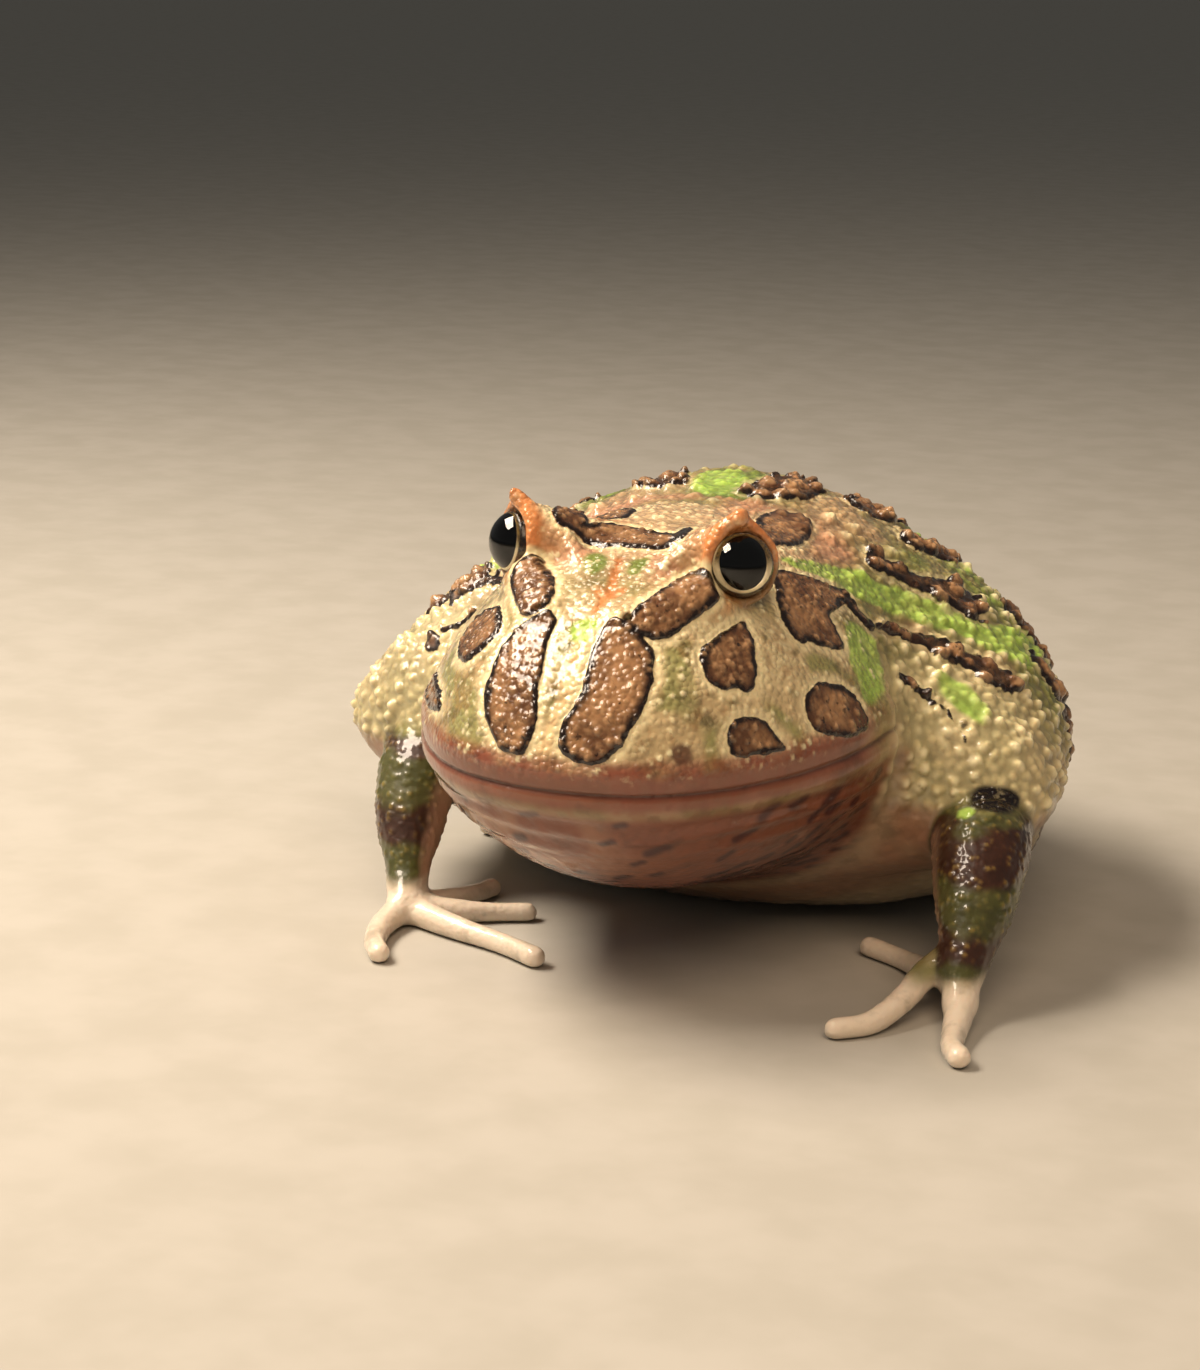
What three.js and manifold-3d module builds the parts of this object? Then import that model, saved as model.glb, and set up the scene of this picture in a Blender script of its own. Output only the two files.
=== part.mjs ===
// Argentine horned frog, adult, sitting with the head raised and turned straight ahead.
// Millimetres. The frog looks along -Y, its left side is +X, up is +Z and the floor is z = 0.
// The flesh is one smooth trunk made of rounded lumps, parted by thin cuts into head, lower jaw
// and torso; the limbs are lathed tubes bent along their bones, each cut clear of the one before.

import * as THREE from 'three';
import { mergeVertices } from 'three/addons/utils/BufferGeometryUtils.js';
import Module from 'manifold-3d';

const wasm = await Module();
wasm.setup();

const gap = 0.3;

// Colours of the animal
const oliveTan = 0x8f8a58;
const paleBelly = 0xd9c2a4;
const wartyGreen = 0x6f8a3c;
const chocolateBrown = 0x4a2c1c;
const hornOrange = 0xb5764c;
const eyeBlack = 0x0b0a0a;
const palmCream = 0xcfc3a0;

// Trunk: each lump reaches to the side, front, back, up and down of its centre;
// plan, rise and fall are the exponents of its roundness, blend is how softly it joins the rest
const lumps = {
  head: {
    centre: [0, -17.7, 26], side: 25.4, front: 30.3, back: 20, up: 20, down: 17.8,
    plan: 1.85, rise: 1.7, fall: 1.73, blend: 0,
  },
  crown: {
    centre: [0, -22, 28], side: 18.5, front: 26.6, back: 26, up: 18.4, down: 14,
    plan: 2.5, rise: 2, fall: 2, blend: 5,
  },
  nape: {
    centre: [0, -11, 25], side: 22.5, front: 22.4, back: 22.4, up: 22.1, down: 14,
    plan: 2.2, rise: 2, fall: 2, blend: 5,
  },
  shoulders: {
    centre: [-1.6, -5.8, 18.4], side: 41.3, front: 10.4, back: 21.4, up: 14.7, down: 10.1,
    plan: 2.2, rise: 2.24, fall: 2.24, blend: 4,
  },
  back: {
    centre: [-2.3, 8.4, 23.2], side: 38.2, front: 25.8, back: 37.6, up: 25.2, down: 20,
    plan: 1.8, rise: 1.56, fall: 2.1, blend: 10,
  },
  belly: {
    centre: [-2.4, 12, 15], side: 36.5, front: 22.9, back: 26, up: 16, down: 15.3,
    plan: 2.1, rise: 2.8, fall: 2.8, blend: 4,
  },
};
const trunkCentre = new THREE.Vector3(-0.8, -4, 24);
const trunkReach = 60;
const trunkSegments = 42;
const trunkRings = 40;
const snoutCrowding = 0.5;

// Ridges that run from the crown over the eye and from the eye to the nostril, as x, y, z, radius
const browRidge = [[5, -23, 44, 3.2], [9, -27.5, 46.6, 2.8], [11, -29.2, 47.8, 1.9]];
const snoutRidge = [[10.5, -31.5, 43.4, 2], [5, -38.5, 40.2, 2]];
const ridgeBlend = 2.5;

// Parting surfaces
const neckRadius = 56;
const neckCentreY = -66;
const mouthFrontY = -47.7;
const mouthCornerY = -17.7;
const mouthFrontZ = 25.7;
const mouthRise = 1.9;

// Lips: rolls along the mouth from corner to corner
const lipHalfWidth = 25.1;
const lipReach = 30;
const lipPlan = 1.8;
const lipSteps = 30;
const lipSides = 6;
const upperLip = { radius: 1.5, lift: 1.75, sink: 0.85 };
const lowerLip = { radius: 1.2, lift: -1.4, sink: 0.75 };

// Eyes, lids and horns
const eyeCentre = new THREE.Vector3(12.1, -28.7, 45.8);
const eyeRadius = 3.5;
const gazeTurn = THREE.MathUtils.degToRad(40);
const gazeLift = THREE.MathUtils.degToRad(8);
const lidThickness = 0.85;
const lidSetback = 0.7;
const lidOpening = 4.25;
const hornBase = [11.2, -29.2, 48.3, 1.9];
const hornMiddle = [11.8, -29.7, 49.8, 1.1];
const hornTip = [12.3, -30.1, 51.25, 0.3];
const hornCutHeight = 49.4;

// Nostrils
const nostril = new THREE.Vector3(4.15, -39.6, 41.2);
const nostrilRim = 1.25;
const nostrilBore = 0.55;
const nostrilDepth = 1.6;

// Limbs as x, y, z, radius; a digit's stations with three numbers leave out z, because they lie on
// the floor and sink a little into it to make their flats
const digitSink = 0.15;
const leftArm = [[26, 3, 16.4, 7], [32.5, -8, 15.8, 5.5], [34.5, -12.6, 14.8, 4.8]];
const leftForearm = [[33.8, -11.5, 15, 4.6], [34.9, -15.4, 13.4, 4.8], [35.7, -18.8, 10.8, 4.2],
  [36.2, -22.2, 7.6, 3], [36.3, -24.6, 5.2, 2.3]];
const leftPalm = [[36.3, -24.4, 4.8, 2], [36.9, -27.2, 2.6, 1.8]];
const leftFingers = [
  [[37, -26.8, 2.2, 1.7], [38, -32.2, 1.35], [38.8, -35.8, 1.15], [40.4, -38.6, 1.25]],
  [[34.8, -23.2, 6, 1.7], [32.6, -25.2, 4.3, 1.5], [31.4, -29.2, 2.5, 1.35], [29.4, -33.6, 1.25],
    [26.8, -36.4, 1.2]],
  [[35.2, -24, 3.8, 1.7], [31.4, -18.6, 2.3, 1.4], [26.8, -13.2, 1.2], [21.8, -10.4, 1.2]],
  [[36, -24.4, 3, 1.7], [34.6, -20, 1.4], [33.8, -16, 1.15], [33.6, -12.6, 1.15]],
];
const rightArm = [[-27, 1, 19, 7], [-31, -9, 17.4, 5.4], [-31.6, -12.6, 15, 4.6]];
const rightForearm = [[-31.2, -11.2, 15.8, 4], [-31.6, -14, 13.6, 4.3], [-31, -16.6, 10, 3.9],
  [-29.8, -19.6, 5.8, 2.5], [-29.2, -21, 4, 2.2]];
const rightPalm = [[-29.6, -20, 4.4, 2], [-28.4, -22.8, 2.4, 2.1]];
const rightFingers = [
  [[-28.8, -22.4, 1.7], [-28.6, -28, 1.4], [-27, -33, 1.2], [-24.8, -36.2, 1.2]],
  [[-28, -22.6, 1.7], [-21.5, -25.2, 1.4], [-14.6, -27.4, 1.2], [-9.3, -30.1, 1.25]],
  [[-28, -22, 1.7], [-22.6, -19.8, 1.35], [-19.5, -17.9, 1.15], [-16.5, -16.3, 1.15]],
  [[-28.4, -21.6, 1.7], [-25.8, -16.4, 1.35], [-24.5, -12.6, 1.15], [-23.9, -10, 1.15]],
];
const hindLegShift = -2.4;
const thighCover = 2.6;
const shankCover = 1.2;
const thigh = [[13, 32, 14.5, 9.5], [22.5, 26, 12.6, 9.6], [28.6, 14.5, 10.4, 7.4]];
const shank = [[28.8, 13.4, 9.2, 5.8], [28.7, 22, 9, 5.6], [25.8, 32.5, 7.4, 4.6], [22.4, 40, 5, 3.6]];
const heel = [[22.4, 40.6, 3.2, 3], [26, 34.4, 2.4, 2.5], [28, 28.6, 2, 2.2]];
const toes = [
  [[27.6, 28.8, 2], [26.6, 24.4, 1.4], [26.4, 21, 1.15]],
  [[28, 28.8, 2], [27.8, 22.6, 1.5], [27.8, 17.8, 1.2]],
  [[28.1, 28.8, 2], [28.8, 21.6, 1.5], [29.4, 16.2, 1.25], [29.6, 13, 1.2]],
  [[28.2, 28.6, 2.1], [29.8, 22, 1.6], [31.4, 16, 1.3], [32.3, 12, 1.2]],
  [[28.8, 29.4, 2], [30.6, 25, 1.4], [31.4, 21.4, 1.15]],
];
const limbSides = 12;
const digitSides = 6;

function smoothMin(a, b, softness) {
  if (softness === 0) {
    return Math.min(a, b);
  }
  const overlap = Math.max(softness - Math.abs(a - b), 0) / softness;
  return Math.min(a, b) - overlap * overlap * softness / 4;
}

// Signed distance, near the surface, to one rounded lump
function lumpDistance(p, lump) {
  const [cx, cy, cz] = lump.centre;
  const depth = p.y < cy ? lump.front : lump.back;
  const height = p.z > cz ? lump.up : lump.down;
  const power = p.z > cz ? lump.rise : lump.fall;
  const x = Math.abs(p.x - cx) / lump.side;
  const y = Math.abs(p.y - cy) / depth;
  const z = Math.abs(p.z - cz) / height;
  const plan = x ** lump.plan + y ** lump.plan + 1e-12;
  const total = plan ** (power / lump.plan) + z ** power;
  const level = total ** (1 / power);
  const scale = total ** (1 / power - 1);
  const planScale = scale * plan ** (power / lump.plan - 1);
  const slope = Math.hypot(
    planScale * x ** (lump.plan - 1) / lump.side,
    planScale * y ** (lump.plan - 1) / depth,
    scale * z ** (power - 1) / height,
  );
  const gentlest = 0.35 / Math.min(lump.side, lump.front, lump.back, lump.up, lump.down);
  return (level - 1) / Math.max(slope, gentlest);
}

// Signed distance to a ridge of round section whose radius changes from station to station
function ridgeDistance(p, stations) {
  let nearest = Infinity;
  for (let i = 0; i + 1 < stations.length; i++) {
    const start = new THREE.Vector3(...stations[i]);
    const end = new THREE.Vector3(...stations[i + 1]);
    const along = end.clone().sub(start);
    const t = THREE.MathUtils.clamp(p.clone().sub(start).dot(along) / along.lengthSq(), 0, 1);
    const radius = THREE.MathUtils.lerp(stations[i][3], stations[i + 1][3], t);
    const distance = p.distanceTo(start.addScaledVector(along, t)) - radius;
    nearest = Math.min(nearest, distance);
  }
  return nearest;
}

function trunkDistance(p) {
  let distance = Infinity;
  for (const lump of Object.values(lumps)) {
    distance = smoothMin(distance, lumpDistance(p, lump), lump.blend);
  }
  const folded = new THREE.Vector3(Math.abs(p.x), p.y, p.z);
  distance = smoothMin(distance, ridgeDistance(folded, browRidge), ridgeBlend);
  return smoothMin(distance, ridgeDistance(folded, snoutRidge), ridgeBlend);
}

// Where a ray from the middle of the trunk leaves the flesh, taking the outermost crossing
function trunkSurface(direction, grow) {
  const p = new THREE.Vector3();
  const isInside = (reach) => trunkDistance(p.copy(trunkCentre).addScaledVector(direction, reach)) < grow;
  let outer = trunkReach;
  while (!isInside(outer)) {
    outer -= 0.5;
  }
  let inner = outer;
  outer += 0.5;
  for (let i = 0; i < 20; i++) {
    const middle = (inner + outer) / 2;
    if (isInside(middle)) {
      inner = middle;
    } else {
      outer = middle;
    }
  }
  return p.copy(trunkCentre).addScaledVector(direction, inner);
}

// The whole trunk: a sphere with its poles at snout and vent, drawn in or out onto the flesh
function trunkGeometry(grow) {
  const geometry = new THREE.SphereGeometry(1, trunkSegments, trunkRings);
  const position = geometry.attributes.position;
  const direction = new THREE.Vector3();
  for (let i = 0; i < position.count; i++) {
    direction.fromBufferAttribute(position, i);
    const fromSnout = Math.acos(THREE.MathUtils.clamp(-direction.y, -1, 1));
    const crowded = fromSnout * (1 - snoutCrowding * (1 - fromSnout / Math.PI));
    const around = Math.hypot(direction.x, direction.z) || 1;
    direction.x *= Math.sin(crowded) / around;
    direction.z *= Math.sin(crowded) / around;
    direction.y = -Math.cos(crowded);
    position.setXYZ(i, ...trunkSurface(direction, grow).toArray());
  }
  return geometry;
}

// A lathed tube with round ends, bent along its stations
function limbGeometry(stations, sides, grow = 0, stepsPerBone = 3) {
  const path = new THREE.CatmullRomCurve3(stations.map(([x, y, z]) => new THREE.Vector3(x, y, z)));
  const bones = stations.length - 1;
  const steps = bones * stepsPerBone;
  const capAngles = [90, 60, 28];
  const rings = [];
  const addRing = (u, tilt, side) => {
    const bone = Math.min(Math.floor(u * bones), bones - 1);
    const radius = grow + THREE.MathUtils.lerp(stations[bone][3], stations[bone + 1][3], u * bones - bone);
    const lean = THREE.MathUtils.degToRad(tilt);
    const tangent = path.getTangent(u);
    const centre = path.getPoint(u).addScaledVector(tangent, side * radius * Math.sin(lean));
    rings.push({ centre, tangent, radius: tilt === 90 ? 0 : radius * Math.cos(lean) });
  };
  capAngles.forEach((tilt) => addRing(0, tilt, -1));
  for (let i = 0; i <= steps; i++) {
    addRing(i / steps, 0, 0);
  }
  capAngles.reverse().forEach((tilt) => addRing(1, tilt, 1));

  const profile = rings.map((ring, i) => new THREE.Vector2(ring.radius, i));
  const geometry = new THREE.LatheGeometry(profile, sides);
  const position = geometry.attributes.position;
  const up = new THREE.Vector3(0, 0, 1);
  for (let i = 0; i < position.count; i++) {
    const ring = rings[Math.round(position.getY(i))];
    const across = new THREE.Vector3().crossVectors(ring.tangent, up).normalize();
    const over = new THREE.Vector3().crossVectors(across, ring.tangent);
    const point = ring.centre.clone();
    point.addScaledVector(across, position.getX(i)).addScaledVector(over, position.getZ(i));
    position.setXYZ(i, point.x, point.y, point.z);
  }
  return geometry;
}

function solid(geometry) {
  const bare = geometry.clone();
  bare.deleteAttribute('normal');
  bare.deleteAttribute('uv');
  const merged = mergeVertices(bare, 1e-3);
  const index = merged.index.array;
  const triangles = [];
  for (let i = 0; i < index.length; i += 3) {
    const [a, b, c] = [index[i], index[i + 1], index[i + 2]];
    if (a !== b && b !== c && c !== a) {
      triangles.push(a, b, c);
    }
  }
  const vertProperties = new Float32Array(merged.attributes.position.array);
  const triVerts = new Uint32Array(triangles);
  return new wasm.Manifold(new wasm.Mesh({ numProp: 3, vertProperties, triVerts }));
}

function largestBody(body) {
  return body.decompose().reduce((best, next) => (next.volume() > best.volume() ? next : best));
}

function joined(bodies) {
  return bodies.reduce((sum, body) => sum.add(body));
}

function mirrored(stations) {
  return stations.map(([x, ...rest]) => [-x, ...rest]);
}

function ball(centre, radius, segments = 18, rings = 12) {
  return solid(new THREE.SphereGeometry(radius, segments, rings).translate(centre.x, centre.y, centre.z));
}

// Everything inside an upright cylinder whose wall bends round the back of the head
function aheadOfNeck(offset) {
  const cylinder = new THREE.CylinderGeometry(neckRadius + offset, neckRadius + offset, 120, 120);
  return solid(cylinder.rotateX(Math.PI / 2).translate(0, neckCentreY, 20));
}

function mouthHeight(y) {
  const fromFront = THREE.MathUtils.clamp((y - mouthFrontY) / (mouthCornerY - mouthFrontY), 0, 1);
  return mouthFrontZ + mouthRise * fromFront ** 2;
}

// Everything below the line of the mouth, carried straight across the head
function belowMouth(offset) {
  const shape = new THREE.Shape();
  const front = -60;
  const back = 0;
  shape.moveTo(front, -5);
  shape.lineTo(back, -5);
  for (let y = back; y >= front; y -= 5) {
    shape.lineTo(y, mouthHeight(y) + offset);
  }
  const width = 120;
  const prism = new THREE.ExtrudeGeometry(shape, { depth: width, bevelEnabled: false });
  prism.rotateX(Math.PI / 2).rotateZ(Math.PI / 2).translate(-width / 2, 0, 0);
  return solid(prism);
}

// A lip is a round roll laid along the mouth, half sunk into the face
function lipRoll({ radius, lift, sink }) {
  const points = [];
  for (let i = 0; i <= lipSteps; i++) {
    const turn = THREE.MathUtils.degToRad(THREE.MathUtils.lerp(-88, 88, i / lipSteps));
    const side = Math.sign(turn) * Math.abs(Math.sin(turn)) ** (2 / lipPlan);
    const reach = Math.cos(turn) ** (2 / lipPlan);
    const x = lipHalfWidth * side;
    const y = mouthCornerY - lipReach * reach;
    const direction = new THREE.Vector3(x, y, mouthHeight(y) + lift).sub(trunkCentre).normalize();
    points.push(trunkSurface(direction, -sink));
  }
  const stations = points.map((p, i) => {
    const taper = Math.sin(Math.PI * Math.min(1, (Math.min(i, lipSteps - i) + 1.5) / 8) / 2);
    return [p.x, p.y, p.z, radius * taper];
  });
  return solid(limbGeometry(stations, lipSides, 0, 1));
}

function mirroredPoint(point, side) {
  return new THREE.Vector3(point.x * side, point.y, point.z);
}

function gaze(side) {
  return new THREE.Vector3(
    side * Math.sin(gazeTurn) * Math.cos(gazeLift),
    -Math.cos(gazeTurn) * Math.cos(gazeLift),
    Math.sin(gazeLift),
  );
}

function eye(side) {
  return ball(mirroredPoint(eyeCentre, side), eyeRadius, 22, 14);
}

// A lid is a shell round the eye, open towards where the eye looks
function lid(side) {
  const centre = mirroredPoint(eyeCentre, side);
  const shellCentre = centre.clone().addScaledVector(gaze(side), -lidSetback);
  const opening = centre.clone().addScaledVector(gaze(side), eyeRadius);
  return ball(shellCentre, eyeRadius + lidThickness).subtract(ball(opening, lidOpening));
}

function horn(side) {
  const stations = side > 0 ? [hornBase, hornMiddle, hornTip] : mirrored([hornBase, hornMiddle, hornTip]);
  return solid(limbGeometry(stations, 10, 0, 2));
}

function levelBox(bottom, top) {
  return solid(new THREE.BoxGeometry(200, 200, top - bottom).translate(0, 0, (top + bottom) / 2));
}

function nostrilPit(side) {
  const mouth = mirroredPoint(nostril, side);
  const pit = new THREE.CylinderGeometry(nostrilBore * 1.3, nostrilBore * 0.6, nostrilDepth * 2, 8);
  const outward = new THREE.Vector3(side * 0.62, -0.62, 0.48).normalize();
  const turn = new THREE.Quaternion().setFromUnitVectors(new THREE.Vector3(0, 1, 0), outward);
  return solid(pit.applyQuaternion(turn).translate(mouth.x, mouth.y, mouth.z));
}

function digit(stations, stepsPerBone) {
  const placed = stations.map((at) => (at.length === 4 ? at : [at[0], at[1], at[2] - digitSink, at[2]]));
  return solid(limbGeometry(placed, digitSides, 0, stepsPerBone));
}

const floor = levelBox(-20, 0);
const eyeSockets = [-1, 1].map((side) => ball(mirroredPoint(eyeCentre, side), eyeRadius + gap));

// Head and lower jaw
const trunk = solid(trunkGeometry(0));
const trunkGrown = solid(trunkGeometry(gap));
let headWhole = trunk.intersect(aheadOfNeck(0));
const lips = lipRoll(upperLip).add(lipRoll(lowerLip));
headWhole = headWhole.add(lips);
const lids = joined([lid(-1), lid(1)]);
const horns = joined([horn(-1), horn(1)]);
const nostrilRims = joined([-1, 1].map((side) => ball(mirroredPoint(nostril, side), nostrilRim, 10, 8)));
let upperHead = headWhole.subtract(belowMouth(gap / 2)).add(lids).add(nostrilRims).add(horns);
upperHead = upperHead.subtract(joined(eyeSockets));
for (const side of [-1, 1]) {
  upperHead = upperHead.subtract(nostrilPit(side));
}
const hornTops = upperHead.intersect(horns).intersect(levelBox(hornCutHeight + gap, 60));
upperHead = upperHead.subtract(levelBox(hornCutHeight, 60));
const lowerJaw = headWhole.intersect(belowMouth(-gap / 2));

// Folded hind limbs: thigh and shank take the flank that lies close over them, the torso is cut clear
function hindLimb(place) {
  const tube = (line, grow) => solid(limbGeometry(place(line), limbSides, grow, 2));
  const flesh = joined([trunk, tube(thigh, 0), tube(shank, 0)]).subtract(floor);
  const shankRoom = tube(shank, shankCover + gap).subtract(tube(thigh, 0));
  const thighBody = flesh.intersect(tube(thigh, thighCover)).subtract(shankRoom);
  const shankBody = flesh.intersect(tube(shank, shankCover)).subtract(tube(thigh, gap));
  const sole = joined([tube(heel, 0), ...toes.map((line) => digit(place(line), 1))]);
  const foot = sole.subtract(trunkGrown).subtract(tube(thigh, gap)).subtract(tube(shank, gap));
  const room = tube(thigh, thighCover + gap).add(shankRoom);
  return { thigh: thighBody, shank: shankBody, foot: foot.subtract(floor), room };
}
const hindLimbs = {
  left: hindLimb((line) => line.map(([x, ...rest]) => [x + hindLegShift, ...rest])),
  right: hindLimb((line) => line.map(([x, ...rest]) => [hindLegShift - x, ...rest])),
};

// Torso
const torso = trunk.subtract(aheadOfNeck(gap)).subtract(floor)
  .subtract(hindLimbs.left.room).subtract(hindLimbs.right.room);

const nodes = {};
function addNode(name, body, color, roughness) {
  nodes[name] = { body: largestBody(body), color, roughness };
}

addNode('head', upperHead, oliveTan, 0.35);
addNode('lower_jaw', lowerJaw, paleBelly, 0.45);
addNode('torso', torso, wartyGreen, 0.45);
for (const [name, side] of [['right', -1], ['left', 1]]) {
  const half = solid(new THREE.BoxGeometry(100, 200, 200).translate(side * 50, 0, 0));
  addNode(`eye_${name}`, eye(side), eyeBlack, 0.05);
  addNode(`horn_${name}`, hornTops.intersect(half), hornOrange, 0.5);
}

// Forelimbs
function addForelimb(name, armLine, forearmLine, palmLine, fingerLines) {
  const upperArm = solid(limbGeometry(armLine, limbSides)).subtract(trunkGrown);
  const armGrown = solid(limbGeometry(armLine, limbSides, gap));
  const forearm = solid(limbGeometry(forearmLine, limbSides)).subtract(armGrown).subtract(trunkGrown);
  const forearmGrown = solid(limbGeometry(forearmLine, limbSides, gap));
  const palm = solid(limbGeometry(palmLine, limbSides));
  const hand = joined([palm, ...fingerLines.map((line) => digit(line, 2))]);
  addNode(`upper_arm_${name}`, upperArm, wartyGreen, 0.4);
  addNode(`forearm_${name}`, forearm, chocolateBrown, 0.4);
  addNode(`hand_${name}`, hand.subtract(forearmGrown).subtract(floor), palmCream, 0.35);
}
addForelimb('left', leftArm, leftForearm, leftPalm, leftFingers);
addForelimb('right', rightArm, rightForearm, rightPalm, rightFingers);

for (const [side, limb] of Object.entries(hindLimbs)) {
  addNode(`thigh_${side}`, limb.thigh, wartyGreen, 0.4);
  addNode(`shank_${side}`, limb.shank, chocolateBrown, 0.4);
  addNode(`foot_${side}`, limb.foot, palmCream, 0.35);
}

function meshOf(name, { body, color, roughness }) {
  const { vertProperties, triVerts } = body.getMesh();
  const geometry = new THREE.BufferGeometry();
  geometry.setAttribute('position', new THREE.BufferAttribute(new Float32Array(vertProperties), 3));
  geometry.setIndex(new THREE.BufferAttribute(new Uint32Array(triVerts), 1));
  geometry.computeVertexNormals();
  const material = new THREE.MeshStandardMaterial({ color, roughness, metalness: 0 });
  const mesh = new THREE.Mesh(geometry, material);
  mesh.name = name;
  return mesh;
}

// The origin is on the floor, below the middle of the frog
const frog = new THREE.Group();
frog.name = 'argentine_horned_frog';
for (const [name, node] of Object.entries(nodes)) {
  frog.add(meshOf(name, node));
}
const extent = new THREE.Box3().setFromObject(frog);
const middle = extent.getCenter(new THREE.Vector3());
frog.position.set(-middle.x, -middle.y, -extent.min.z);
frog.updateMatrixWorld(true);

export default frog;
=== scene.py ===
# Argentine horned frog, life size and sitting still: one wet warty skin, two eyes, floor, light, camera
from itertools import product
from math import atan2, cos, pi, radians, sin, sqrt

import bpy
import numpy as np
from mathutils import Matrix, Vector


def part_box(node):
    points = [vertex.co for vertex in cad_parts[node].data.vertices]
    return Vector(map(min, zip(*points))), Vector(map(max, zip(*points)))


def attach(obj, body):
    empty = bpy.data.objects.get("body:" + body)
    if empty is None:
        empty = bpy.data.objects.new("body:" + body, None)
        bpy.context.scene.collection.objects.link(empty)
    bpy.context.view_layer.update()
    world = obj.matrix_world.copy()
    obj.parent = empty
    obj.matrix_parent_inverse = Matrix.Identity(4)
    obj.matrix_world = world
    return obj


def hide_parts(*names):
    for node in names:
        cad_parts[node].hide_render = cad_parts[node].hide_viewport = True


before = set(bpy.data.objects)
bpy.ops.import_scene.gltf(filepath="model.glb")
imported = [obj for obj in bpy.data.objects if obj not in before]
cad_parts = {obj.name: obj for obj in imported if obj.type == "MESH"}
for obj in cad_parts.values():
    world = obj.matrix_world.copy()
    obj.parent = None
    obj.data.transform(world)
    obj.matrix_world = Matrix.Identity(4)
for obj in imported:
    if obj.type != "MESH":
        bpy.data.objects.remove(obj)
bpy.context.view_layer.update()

millimetre = 0.001

# Everything below is in millimetres as the frog was drawn: it looks along -Y, its left is +X,
# and the floor is z = 0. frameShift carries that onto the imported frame.
eye = {
    "centre": (12.1, -28.7, 45.8),
    "radius": 3.5,
    "gazeTurn": 40,
    "gazeLift": 8,
}
boxLow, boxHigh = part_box("eye_left")
frameShift = np.array((boxLow + boxHigh) / 2) / millimetre - np.array(eye["centre"])


def toFrame(points):
    return (np.asarray(points, float) + frameShift) * millimetre


# the camera, at the photograph's angle
view = {
    "target": (0, -20, 38),
    "distance": 320,
    "turn": 23.1,  # degrees to the frog's left
    "tilt": 13.9,
    "roll": 1.2,
    "slideRight": -6.3,
    "slideUp": -7.8,
    "lens": 79.5,
    "sensor": 36,
}


def linked(name, data):
    made = bpy.data.objects.new(name, data)
    bpy.context.scene.collection.objects.link(made)
    return made


def cameraAxes():
    # its place and the directions to its right, up and back
    turn, tilt, roll = (radians(view[k]) for k in ("turn", "tilt", "roll"))
    back = np.array((sin(turn) * cos(tilt), -cos(turn) * cos(tilt), sin(tilt)))
    level = np.array((cos(turn), sin(turn), 0))
    over = np.cross(back, level)
    right = level * cos(roll) + over * sin(roll)
    up = over * cos(roll) - level * sin(roll)
    place = view["target"] + back * view["distance"] + right * view["slideRight"] + up * view["slideUp"]
    return place, right, up, back


def makeCamera():
    place, right, up, back = cameraAxes()
    data = bpy.data.cameras.new("photoCamera")
    data.lens = view["lens"]
    data.sensor_width = view["sensor"]
    data.clip_start = 0.01
    data.clip_end = 20
    camera = linked("photoCamera", data)
    turned = Matrix(np.array((right, up, back)).T).to_4x4()
    camera.matrix_world = Matrix.Translation(Vector(toFrame(place))) @ turned
    bpy.context.scene.camera = camera
    print("camera placed")


# Shapes are distances in millimetres, negative inside the flesh. The trunk is made of lumps: how far
# each reaches from its centre, the powers that make it rounder or squarer, and how softly it joins.
trunkLumps = {
    "head": dict(centre=(0, -17.7, 26), side=25.4, front=30.3, back=20, up=20, down=17.8,
                 plan=1.85, rise=1.7, fall=1.73, blend=0),
    "crown": dict(centre=(0, -22, 28), side=18.5, front=26.6, back=26, up=18.4, down=14,
                  plan=2.5, rise=2, fall=2, blend=5),
    "nape": dict(centre=(0, -11, 25), side=22.5, front=22.4, back=22.4, up=22.1, down=14,
                 plan=2.2, rise=2, fall=2, blend=5),
    "shoulders": dict(centre=(-1.6, -5.8, 18.4), side=41.3, front=10.4, back=21.4, up=14.7, down=10.1,
                      plan=2.2, rise=2.24, fall=2.24, blend=4),
    "back": dict(centre=(-2.3, 8.4, 23.2), side=38.2, front=25.8, back=37.6, up=25.2, down=20,
                 plan=1.8, rise=1.56, fall=2.1, blend=10),
    "belly": dict(centre=(-2.4, 12, 15), side=36.5, front=22.9, back=26, up=16, down=15.3,
                  plan=2.1, rise=2.8, fall=2.8, blend=4),
}
trunkCentre = np.array((-0.8, -4, 24))

# Tubes of flesh as x, y, z, radius
headTubes = {
    "browRidge": [(5, -23, 44, 3.2), (9, -27.5, 46.6, 2.8), (11, -29.2, 47.8, 1.9)],
    "snoutRidge": [(10.5, -31.5, 43.4, 2), (5, -38.5, 40.2, 2)],
    "horn": [(11.2, -29.2, 48.0, 1.6), (11.8, -29.7, 49.6, 0.8), (12.5, -30.2, 51.4, 0.12)],
    "crest": [(12.3, -30.1, 50.6, 0.3), (9.3, -29.6, 48.6, 0.65), (6.8, -29.7, 46.9, 0.8),
              (4.6, -31, 45.0, 0.8)],
    "leftTip": [(12.2, -30, 50.2, 0.6), (12.6, -29.4, 51.5, 0.35), (12.9, -28.9, 52.4, 0.1)],
}
lid = {"thickness": 0.36, "setback": 0.6, "opening": 4.25, "rim": 3.68, "rimReach": 0.75}
nostril = {
    "centre": (4.15, -39.6, 41.2),
    "outward": (0.62, -0.62, 0.48),
    "rim": 1.2,
    "bore": 0.36,
    "depth": 1.5,
}
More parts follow.
